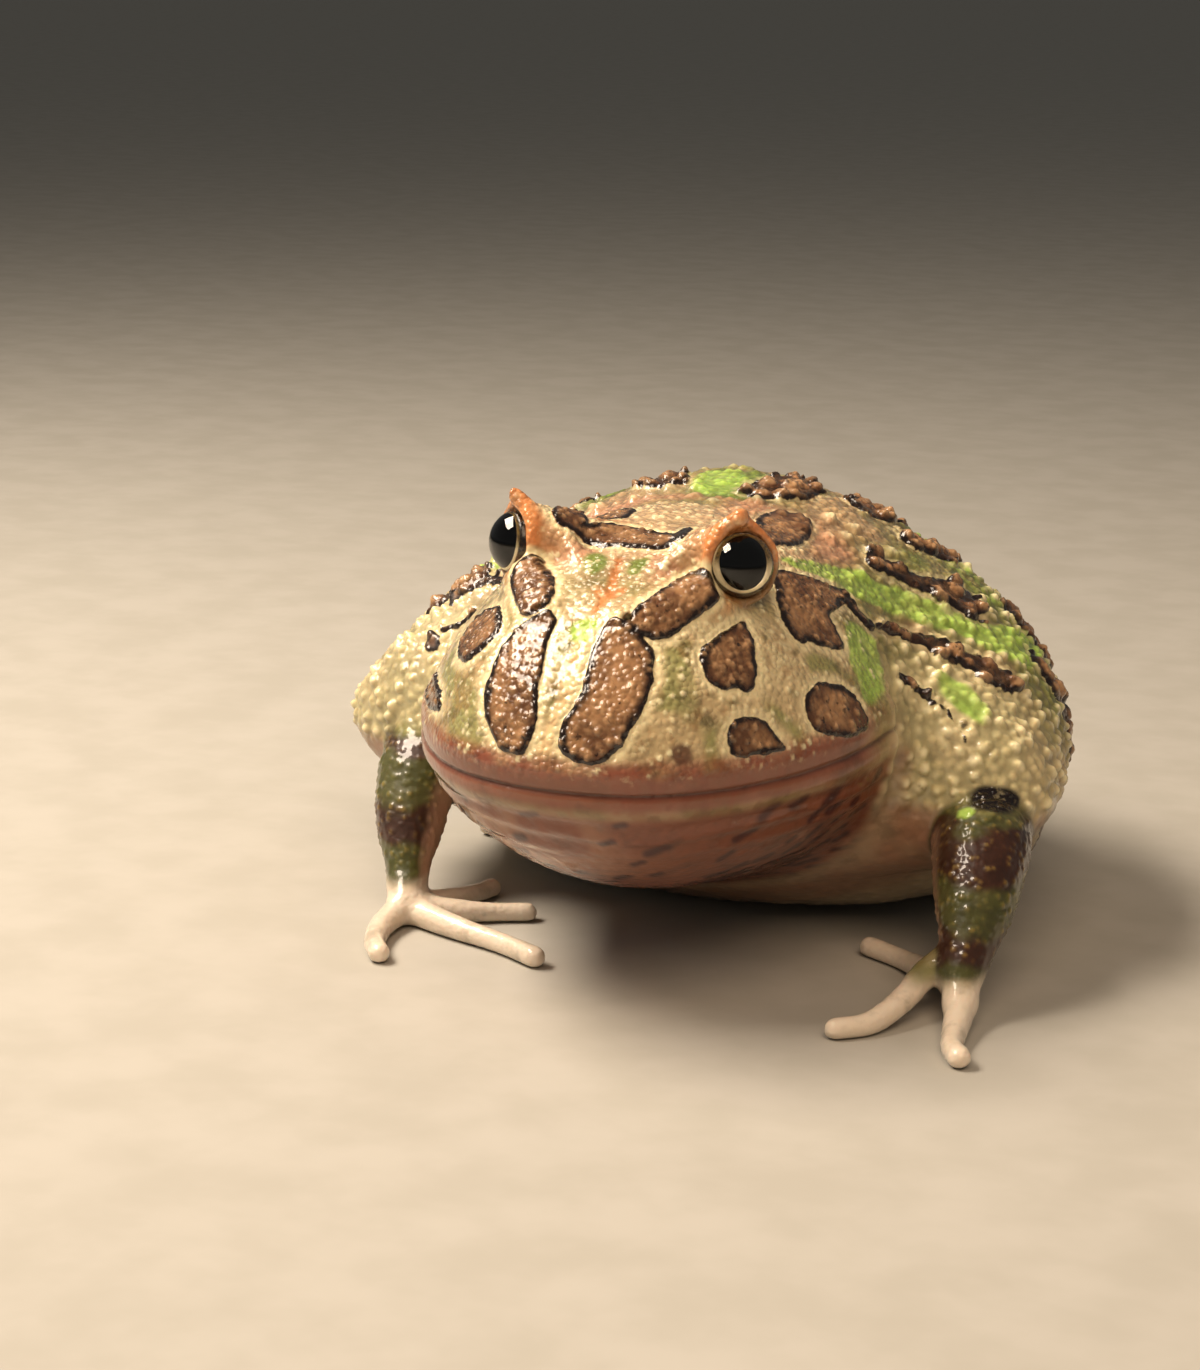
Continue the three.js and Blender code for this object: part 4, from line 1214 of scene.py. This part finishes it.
def paintLegs(skin):
    # green legs, brown bands, and granules with painted light on their tops and painted shade in the skin
    # between them
    parts, head, p = skin["parts"], skin["head"], skin["points"]
    small, tiny = skin["noises"][2], skin["noises"][3]
    fores = sum(parts[name + side] for name in ("arm", "forearm") for side in ("Left", "Right"))
    hinds = sum(parts[name + side] for name in ("thigh", "shank") for side in ("Left", "Right"))
    fores = fores * inZone("shoulder", p[:, 2] + 0.8 * small)
    legs = np.clip(fores + hinds, 0, 1)
    paint(skin, "armGreen", legs * (0.9 + 0.1 * small))
    paint(skin, "armBrown", fores * smoothStep(0.5, -0.7, skin["foreBand"]))
    # painted light and shade over trunk, limbs and head: granule tops lighter, the skin between them darker,
    # with a little random tone
    loose = np.clip(skin["trunk"] + skin["limb"], 0, 1)
    shade = 1 + loose * (0.5 * skin["grain"] - 0.27) + head * (0.25 * skin["grain"] - 0.06) + 0.1 * tiny
    skin["colour"] *= shade[:, None]
    offBlotch = smoothStep(-0.2, 0.4, skin["blotch"])
    offGreen = 1 - 0.75 * smoothStep(0.35, -0.45, skin["green"])
    paint(skin, "wartCream", smoothStep(0.2, 0.75, skin["wartTop"]) * 0.85 * offGreen * offBlotch)
    paint(skin, "wartCream", head * smoothStep(0.2, 0.5, skin["faceTop"]) * 0.8 * offBlotch)
    # painted light: gold on the tops of the leg granules
    paint(skin, "armGold", legs * smoothStep(0.35, 0.9, skin["grain"]) * 0.4 * offBlotch)
    paint(skin, "belly", hinds * smoothStep(0.25, -0.5, skin["normals"][:, 2]))


def paintHands(skin):
    # the pale inner sides of the forelegs, the digits, and the dark fold beside the left foreleg, painted
    # near-black as the arm's dark band and painted shade in the hollow
    p, n, parts, small = skin["points"], skin["normals"], skin["parts"], skin["noises"][2]
    for side, sign in (("Left", 1), ("Right", -1)):
        fore = np.clip(parts["forearm" + side] + parts["arm" + side], 0, 1)
        rearEdge = smoothStep(0.0, 0.5, n[:, 1] - 0.15) * inZone("foreRear", p[:, 2])
        innerSide = smoothStep(0.7, 1.0, -sign * n[:, 0])
        paint(skin, "armPale", fore * np.clip(rearEdge + 0.8 * innerSide, 0, 1) * 0.9)
        wrist = inZone("wrist", p[:, 2] + 0.5 * small)
        paint(skin, "digit", np.clip(parts["hand" + side] + parts["forearm" + side], 0, 1) * wrist)
        foot = parts["foot" + side]
        paint(skin, "footTan", foot)
        paint(skin, "digit", foot * smoothStep(0.1, -0.5, n[:, 2]) * 0.7)
    # near-black in the wet hollow under the left flank: the arm's dark band and painted shade in the hollow
    paint(skin, "blotchRim", smoothStep(0.4, -0.1, skin["fold"] + 0.3 * small))
    spot = legMarks["foldGreen"]
    fromSpot = ballDistance(p, np.array(legMarks["fold"]["centre"]) + spot["from"], 0)
    paint(skin, "brightGreen", smoothStep(*spot["edge"], fromSpot + 0.3 * small))


def paintEyelids(skin):
    # orange horns and upper lids, brown lower lids, painted shade in the dark rim under the upper lid against
    # the eye, and painted shade in the nostrils
    p, folded = skin["points"], mirrorFold(skin["points"])
    lids = smoothStep(0.9, 0.0, skin["upperLid"]) * smoothStep(-1.6, 0.8, p[:, 2] - eye["centre"][2])
    horn = smoothStep(1.0, 0.0, skin["horn"])
    paint(skin, "hornOrange", np.maximum(lids, horn) * 0.9)
    paint(skin, "lowerLid", smoothStep(0.9, 0.1, skin["lowerLid"]) * 0.9)
    fromEye = ballDistance(folded, eye["centre"], eye["radius"])
    # painted shade under the overhanging upper lid where it meets the eye
    paint(skin, "lidUnder", smoothStep(0.35, 0.1, fromEye) * smoothStep(0.6, 0.0, skin["upperLid"]) * 0.8)
    # painted shade in the nostril pits
    paint(skin, "nostril", smoothStep(1.0, 0.55, ballDistance(folded, nostril["centre"], 0)) * 0.9)


def colourSkin(skin):
    skin["noises"] = [softNoise(skin["points"], size, seed) for size, seed in paintNoises]
    skin["colour"] = np.tile(np.array(linear(colours["olive"])), (len(skin["points"]), 1))
    for paintRegion in (paintBack, paintCheeks, paintGreens, paintMouth, paintLegs, paintHands, paintEyelids):
        paintRegion(skin)
    # how plain the pale line round a blotch is: on the face, less on the back, not on the limbs
    aboveLip = smoothStep(3.0, 4.5, skin["mouth"] + 10 * (1 - skin["head"]))
    skin["lined"] = np.clip(skin["head"] + 0.4 * skin["trunk"], 0, 1) * aboveLip
    print("skin coloured")


# Node materials
def feed(tree, socket, value):
    # links another node's socket to this one, or sets its own value
    if isinstance(value, bpy.types.NodeSocket):
        tree.links.new(value, socket)
    else:
        socket.default_value = value


def node(tree, kind, inputs=None, **settings):
    made = tree.nodes.new(kind)
    for name, value in settings.items():
        setattr(made, name, value)
    for name, value in (inputs or {}).items():
        feed(tree, made.inputs[name], value)
    return made


def mixed(tree, share, first, second, how="MIX"):
    made = node(tree, "ShaderNodeMix", data_type="RGBA", blend_type=how)
    for index, value in ((0, share), (6, first), (7, second)):
        feed(tree, made.inputs[index], value)
    return made.outputs[2]


def remapped(tree, value, low, high, toLow=0.0, toHigh=1.0):
    inputs = {"Value": value, "From Min": low, "From Max": high, "To Min": toLow, "To Max": toHigh}
    return node(tree, "ShaderNodeMapRange", inputs, interpolation_type="SMOOTHSTEP").outputs["Result"]


def sums(tree, how, a, b):
    made = node(tree, "ShaderNodeMath", {0: a, 1: b}, operation=how)
    return made.outputs[0]


def times(tree, a, b):
    return sums(tree, "MULTIPLY", a, b)


def swung(tree, value, amount):
    # a noise round a half, turned into a push of up to half the amount each way
    return times(tree, sums(tree, "SUBTRACT", value, 0.5), amount)


def named(code):
    return (*linear(colours.get(code, code)), 1)


def newMaterial(name):
    material = bpy.data.materials.new(name)
    material.use_nodes = True
    tree = material.node_tree
    return material, tree, tree.nodes["Principled BSDF"], node(tree, "ShaderNodeTexCoord").outputs["Object"]


def setShader(tree, shader, **sockets):
    # sets the shader's sockets, whose names are written here without their spaces
    byName = {socket.name.replace(" ", ""): socket for socket in shader.inputs}
    for name, value in sockets.items():
        feed(tree, byName[name], value)


def noise(tree, where, scale, detail=3.0, rough=0.55):
    inputs = {"Vector": where, "Scale": scale, "Detail": detail, "Roughness": rough}
    return node(tree, "ShaderNodeTexNoise", inputs).outputs["Fac"]


def attribute(tree, name, output):
    return node(tree, "ShaderNodeAttribute", attribute_name=name).outputs[output]


def attributeParts(tree, name):
    return node(tree, "ShaderNodeSeparateXYZ", {0: attribute(tree, name, "Vector")}).outputs


skinFinish = {
    "coat": 0.85,
    "coatRoughness": 0.08,
    "coatIor": 1.44,
    "scatter": 0.12,
    "scatterReach": 0.0011,
    "scatterColours": (1.0, 0.4, 0.22),
    "dryRoughness": 0.5,
    "wetRoughness": 0.26,
    "granuleScale": 1400,
    "granuleHeight": 0.00014,
    "granuleScatter": 0.9,
    "poreScale": 6500,
    "poreHeight": 0.00002,
    "fleckScale": 900,
    "mottleScale": 260,
    "speckScale": 1150,
}


def groundColour(tree, wetness, fineNoise, mottle, edge):
    # the painted ground, broken up by fine flecks, with a pale line round the blotches
    ground, lined = attribute(tree, "ground", "Color"), attribute(tree, "ground", "Alpha")
    flecked = mixed(tree, remapped(tree, mottle, 0.52, 0.7, 0, 0.35), ground, named("fleck"), "MULTIPLY")
    paleFlecks = times(tree, remapped(tree, fineNoise, 0.56, 0.72, 0, 0.2),
                       remapped(tree, wetness, 0.05, 0.3))
    flecked = mixed(tree, paleFlecks, flecked, named("paleEdge"))
    line = times(tree, remapped(tree, edge, -0.05, 0.12), remapped(tree, edge, 1.0, 0.3))
    return mixed(tree, times(tree, line, lined), flecked, named("paleEdge"))


def blotchColour(tree, where, grainTop, mottle, edge):
    # marbled brown, lighter on its granules, darker to the edge and near black in the valleys of the
    # back and along a rim of uneven width
    unevenEdge = sums(tree, "ADD", edge, swung(tree, mottle, 2.4))
    inside = mixed(tree, remapped(tree, mottle, 0.38, 0.62), named("chocolate"), named("blotchRed"))
    inside = mixed(tree, remapped(tree, unevenEdge, -1.3, -0.2, 0, 0.8), inside, named("blotchEdge"))
    inside = mixed(tree, times(tree, grainTop, 0.85), inside, named("blotchTop"))
    specks = remapped(tree, noise(tree, where, skinFinish["speckScale"], 2), 0.62, 0.72, 0, 0.75)
    inside = mixed(tree, specks, inside, named("blotchRim"))
    rim = times(tree, remapped(tree, unevenEdge, -0.85, -0.3, 0, 0.95),
                   remapped(tree, grainTop, 0.75, 0.15, 0.35, 1))
    valley = remapped(tree, grainTop, -0.15, -0.8, 0, 0.7)
    return mixed(tree, sums(tree, "MAXIMUM", rim, valley), inside, named("blotchRim"))


def skinBump(tree, where, wetness):
    # fine granules, strongest where the skin is wet, with pores over them
    look = skinFinish
    granules = node(tree, "ShaderNodeTexVoronoi", {"Vector": where, "Scale": look["granuleScale"],
                                                   "Randomness": look["granuleScatter"]})
    domes = remapped(tree, granules.outputs["Distance"], 0.1, 0.75, 1, 0)
    height = times(tree, domes, remapped(tree, wetness, 0.0, 0.8, 0.15, 1.0))
    granular = node(tree, "ShaderNodeBump", {"Distance": look["granuleHeight"], "Strength": 1.0,
                                             "Height": height})
    pores = node(tree, "ShaderNodeBump", {"Distance": look["poreHeight"], "Strength": 1.0,
                                          "Height": noise(tree, where, look["poreScale"], 2),
                                          "Normal": granular.outputs["Normal"]})
    return pores.outputs["Normal"]


def skinMaterial():
    look = skinFinish
    material, tree, shader, where = newMaterial("frogSkin")
    blotch, wetness, grainTop = attributeParts(tree, "marks")
    fineNoise = noise(tree, where, look["fleckScale"])
    mottle = noise(tree, where, look["mottleScale"], 4)
    edge = sums(tree, "ADD", blotch, swung(tree, fineNoise, 0.35))
    ground = groundColour(tree, wetness, fineNoise, mottle, edge)
    inBlotch = blotchColour(tree, where, grainTop, mottle, edge)
    dampness = sums(tree, "ADD", wetness, times(tree, mottle, 0.4))
    setShader(tree, shader,
           BaseColor=mixed(tree, remapped(tree, edge, 0.06, -0.06), ground, inBlotch),
           Roughness=remapped(tree, dampness, 0.1, 1.1, look["dryRoughness"], look["wetRoughness"]),
           Normal=skinBump(tree, where, wetness),
           CoatWeight=look["coat"], CoatRoughness=look["coatRoughness"], CoatIOR=look["coatIor"],
           SubsurfaceWeight=look["scatter"], SubsurfaceRadius=look["scatterColours"],
           SubsurfaceScale=look["scatterReach"])
    return material


# how far round an eye and a nostril the skin is pulled back to its exact shape
sharpened = {"eye": 8, "nostril": 3}


def makeSkin():
    pitch = grid["pitch"]
    levels, low = fleshLevels(pitch)
    print("flesh measured at", pitch, "mm")
    mesh = meshOf("frogSkin", *surfaceNet(levels, low, pitch))
    mesh = subdivided(mesh)
    points = readVectors(mesh.vertices, "co")
    folded = mirrorFold(points)
    aroundEye = ballDistance(folded, eye["centre"], sharpened["eye"]) < 0
    aroundNostril = ballDistance(folded, nostril["centre"], sharpened["nostril"]) < 0
    points = pulledToFlesh(points, aroundEye | aroundNostril)
    print("skin net:", len(points), "points")
    setPoints(mesh, points)
    mesh.update()
    skin = surveyed(points, readVectors(mesh.vertex_normals, "vector"))
    scatterBumps(skin)
    drawMarkings(skin)
    lifted = raiseRelief(skin)
    colourSkin(skin)
    lifted[:, 2] = np.maximum(lifted[:, 2], 0)
    setPoints(mesh, toFrame(lifted))
    addAttribute(mesh, "ground", "FLOAT_COLOR", [skin["colour"], skin["lined"]])
    addAttribute(mesh, "marks", "FLOAT_VECTOR", [skin["blotch"], skin["wetness"], skin["grainTop"]])
    shadeSmooth(mesh)
    mesh.materials.append(skinMaterial())
    return linked("frogSkin", mesh)


# Eyes: a globe with a sunk iris and pupil behind a clear cornea
eyeLook = {
    "globe": 3.44,
    "cornea": 3.5,
    "irisOuter": 3.05,
    "irisDepth": 1.55,
    "irisSwell": 0.12,
    "pupilWide": 2.16,
    "pupilTall": 2.56,
    "bowlDepth": 1.0,
    "leftGaze": (31, 17),
    "rightGaze": (43, 8),
    "rings": 96,
    "globeSteps": 24,
    "irisSteps": 8,
    "bowlSteps": 12,
    "corneaSteps": 32,
    "corneaEdge": 8,
    "pole": 0.995,
    "bowlPole": 0.98,
    "gold": "#9a7c3c",
    "goldDark": "#33260f",
    "irisCream": "#f4e4b8",
    "globeBrown": "#241810",
    "globeVein": "#3b2716",
    "pupilBlack": ("#000000", "#020201"),
    "corneaTints": ("#ffffff", "#fbf8f0"),
    "corneaIor": 1.376,
}


def turnedTo(gaze):
    # the frame of an eye: across, up, out
    across = np.cross((0, 0, 1), gaze)
    across /= np.linalg.norm(across)
    return np.stack([across, np.cross(gaze, across), gaze])


def spun(name, profile, axes, centre):
    # turns a profile of (radius, height, tallness) round the line of sight
    rings = eyeLook["rings"]
    angles = np.arange(rings) * 2 * pi / rings
    points = np.concatenate([
        np.stack([radius * np.cos(angles), radius * tall * np.sin(angles), np.full(rings, height)], 1)
        for radius, height, tall in profile
    ])
    quads = []
    for i in range(len(profile) - 1):
        for k in range(rings):
            after = (k + 1) % rings
            quads.append((i * rings + k, i * rings + after, (i + 1) * rings + after, (i + 1) * rings + k))
    firstCap = tuple(reversed(range(rings)))
    lastCap = tuple(range((len(profile) - 1) * rings, len(profile) * rings))
    mesh = bpy.data.meshes.new(name)
    mesh.from_pydata([tuple(v) for v in toFrame(points @ axes + centre)], [], [firstCap] + quads + [lastCap])
    shadeSmooth(mesh)
    return linked(name, mesh)


def globeMaterial():
    material, tree, shader, where = newMaterial("eyeGlobeBrown")
    veins = remapped(tree, noise(tree, where, 1500), 0.4, 0.7)
    brown = mixed(tree, veins, named(eyeLook["globeBrown"]), named(eyeLook["globeVein"]))
    setShader(tree, shader, BaseColor=brown, Roughness=0.15)
    return material


def irisMaterial():
    # irisPlace is the direction from the pupil and how near to it: a cream crescent hugs the pupil below,
    # another lies at the outer edge in front, and the rest is dark olive with gold flecks
    material, tree, shader, where = newMaterial("irisGold")
    ahead, over, nearPupil = attributeParts(tree, "irisPlace")
    flecks = noise(tree, where, 5200, 4, 0.7)
    gold = mixed(tree, remapped(tree, flecks, 0.35, 0.6), named(eyeLook["goldDark"]), named(eyeLook["gold"]))
    crescent = times(tree, remapped(tree, over, 0.3, -0.3), remapped(tree, nearPupil, 0.0, 0.2))
    front = times(tree, remapped(tree, ahead, -0.6, -0.9), remapped(tree, nearPupil, 0.45, 0.2))
    dim = mixed(tree, remapped(tree, nearPupil, 0.35, 0.05, 0, 0.75), gold, named(eyeLook["goldDark"]))
    rimmed = mixed(tree, sums(tree, "MAXIMUM", crescent, front), dim, named(eyeLook["irisCream"]))
    setShader(tree, shader, BaseColor=rimmed, Roughness=0.35, Metallic=0.0)
    return material


def pupilMaterial():
    material, tree, shader, where = newMaterial("pupilBlack")
    black = mixed(tree, noise(tree, where, 700), *map(named, eyeLook["pupilBlack"]))
    setShader(tree, shader, BaseColor=black, Roughness=0.6, SpecularIORLevel=0.0)
    return material


def corneaMaterial():
    material, tree, shader, where = newMaterial("corneaClear")
    clear = mixed(tree, noise(tree, where, 300), *map(named, eyeLook["corneaTints"]))
    setShader(tree, shader, BaseColor=clear, Roughness=0.0, IOR=eyeLook["corneaIor"], TransmissionWeight=1.0,
           CoatWeight=0.6, CoatRoughness=0.0, CoatIOR=1.5)
    return material


def globeProfile():
    # rings from the back of the globe to its edge, in over the iris and down the bowl of the pupil
    look = eyeLook
    edge = sqrt(look["globe"] ** 2 - look["irisOuter"] ** 2)
    back, closing = -pi / 2 * look["pole"], atan2(edge, look["irisOuter"])
    tall = look["pupilTall"] / look["pupilWide"]
    profile = []
    for i in range(look["globeSteps"] + 1):
        turn = back + (closing - back) * i / look["globeSteps"]
        profile.append((look["globe"] * cos(turn), look["globe"] * sin(turn), 1.0))
    for i in range(1, look["irisSteps"] + 1):
        share = i / look["irisSteps"]
        profile.append((look["irisOuter"] + share * (look["pupilWide"] - look["irisOuter"]),
                        edge + share * (look["irisDepth"] - edge) + look["irisSwell"] * sin(share * pi),
                        1 + (tall - 1) * share ** 1.5))
    for i in range(1, look["bowlSteps"] + 1):
        share = i / look["bowlSteps"]
        profile.append((look["pupilWide"] * cos(share * pi / 2 * look["bowlPole"]),
                        look["irisDepth"] - look["bowlDepth"] * sin(share * pi / 2), tall))
    return profile


def nearPupilShares():
    # for every point of a globe how near to the pupil it is: 0 on the globe, 1 in the bowl
    irisSteps = eyeLook["irisSteps"]
    onIris = [i / irisSteps for i in range(1, irisSteps + 1)]
    shares = [0.0] * (eyeLook["globeSteps"] + 1) + onIris + [1.0] * eyeLook["bowlSteps"]
    return np.repeat(shares, eyeLook["rings"])


def makeGlobe(name, axes, centre):
    globe = spun("eyeGlobe" + name, globeProfile(), axes, centre)
    for material in (eyeKinds["globe"], eyeKinds["iris"], eyeKinds["pupil"]):
        globe.data.materials.append(material)
    irisFrom = eyeLook["globeSteps"]
    pupilFrom = irisFrom + eyeLook["irisSteps"]
    slots = np.zeros(len(globe.data.polygons), np.int32)
    ringOf = (np.arange(len(slots)) - 1) // eyeLook["rings"]
    slots[(ringOf >= irisFrom) & (ringOf < pupilFrom)] = 1
    slots[ringOf >= pupilFrom] = 2
    globe.data.polygons.foreach_set("material_index", slots)
    flat = (readVectors(globe.data.vertices, "co") / millimetre - frameShift - centre) @ axes.T
    rounded = np.maximum(np.hypot(flat[:, 0], flat[:, 1]), 0.1)
    addAttribute(globe.data, "irisPlace", "FLOAT_VECTOR",
                 [flat[:, 0] / rounded, flat[:, 1] / rounded, nearPupilShares()])
    return globe


def makeCornea(name, axes, centre):
    look = eyeLook
    edge, pole = radians(look["corneaEdge"]), pi / 2 * look["pole"]
    profile = []
    for i in range(look["corneaSteps"] + 1):
        turn = edge + (pole - edge) * i / look["corneaSteps"]
        profile.append((look["cornea"] * cos(turn), look["cornea"] * sin(turn), 1.0))
    cornea = spun("cornea" + name, profile, axes, centre)
    cornea.data.materials.append(eyeKinds["cornea"])
    return cornea


def makeEye(side, name):
    centre = np.array(eye["centre"]) * (side, 1, 1)
    axes = turnedTo(gazeOf(side, *eyeLook[name.lower() + "Gaze"]))
    return makeGlobe(name, axes, centre), makeCornea(name, axes, centre)


# Floor, light and air
studio = {
    "floor": ("#aeaba3", "#a7a49b"),
    "floorSize": 40.0,
    "floorRoughness": 0.85,
    "air": "#c9c6c0",
    "airStrength": 0.2,
    "aim": (0, -10, 25),
    "lamps": [
        # name, place and size in metres, watts, colour, whether it shows in wet skin and eyes
        ("overheadSoftbox", (-0.24, -0.08, 0.376), (0.36, 0.15), 3.9, "#ffecd6", True),
        ("frontFill", (0.22, -0.36, 0.5), (0.4, 0.4), 2.5, "#ffe0c0", False),
        ("sideFill", (-0.7, -0.25, 0.3), (0.4, 0.5), 0.3, "#eef2f5", False),
    ],
}


def makeFloor():
    half = studio["floorSize"] / 2
    mesh = bpy.data.meshes.new("studioFloor")
    corners = [(-half, -half, 0), (half, -half, 0), (half, half, 0), (-half, half, 0)]
    mesh.from_pydata(corners, [], [(0, 1, 2, 3)])
    floor = linked("studioFloor", mesh)
    material, tree, shader, where = newMaterial("floorPaper")
    paper = mixed(tree, remapped(tree, noise(tree, where, 90), 0.3, 0.7), *map(named, studio["floor"]))
    setShader(tree, shader, BaseColor=paper, Roughness=studio["floorRoughness"])
    mesh.materials.append(material)


def makeLamp(name, place, size, watts, colour, mirrored):
    lamp = bpy.data.lights.new(name, "AREA")
    lamp.shape = "RECTANGLE"
    lamp.size, lamp.size_y = size
    lamp.energy = watts
    lamp.color = linear(colour)
    holder = linked(name, lamp)
    holder.location = place
    holder.visible_glossy = mirrored
    holder.rotation_mode = "QUATERNION"
    holder.rotation_quaternion = (Vector(place) - Vector(toFrame(studio["aim"]))).to_track_quat("Z", "Y")


def makeAir():
    world = bpy.data.worlds.new("studioAir")
    world.use_nodes = True
    background = world.node_tree.nodes["Background"]
    background.inputs["Color"].default_value = named(studio["air"])
    background.inputs["Strength"].default_value = studio["airStrength"]
    bpy.context.scene.world = world
    bpy.context.scene.view_settings.view_transform = "Standard"


def makeStudio():
    makeFloor()
    for lamp in studio["lamps"]:
        makeLamp(*lamp)
    makeAir()
    print("studio ready")


makeCamera()
makeStudio()
frogSkin = makeSkin()
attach(frogSkin, "root")
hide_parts(*[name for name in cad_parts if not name.startswith("eye")])
eyeKinds = {
    "globe": globeMaterial(),
    "iris": irisMaterial(),
    "pupil": pupilMaterial(),
    "cornea": corneaMaterial(),
}
for side, name, nodeName in ((1, "Left", "eye_left"), (-1, "Right", "eye_right")):
    globe, cornea = makeEye(side, name)
    for piece in (globe, cornea):
        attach(piece, "root")
    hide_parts(nodeName)
print("eyes set")
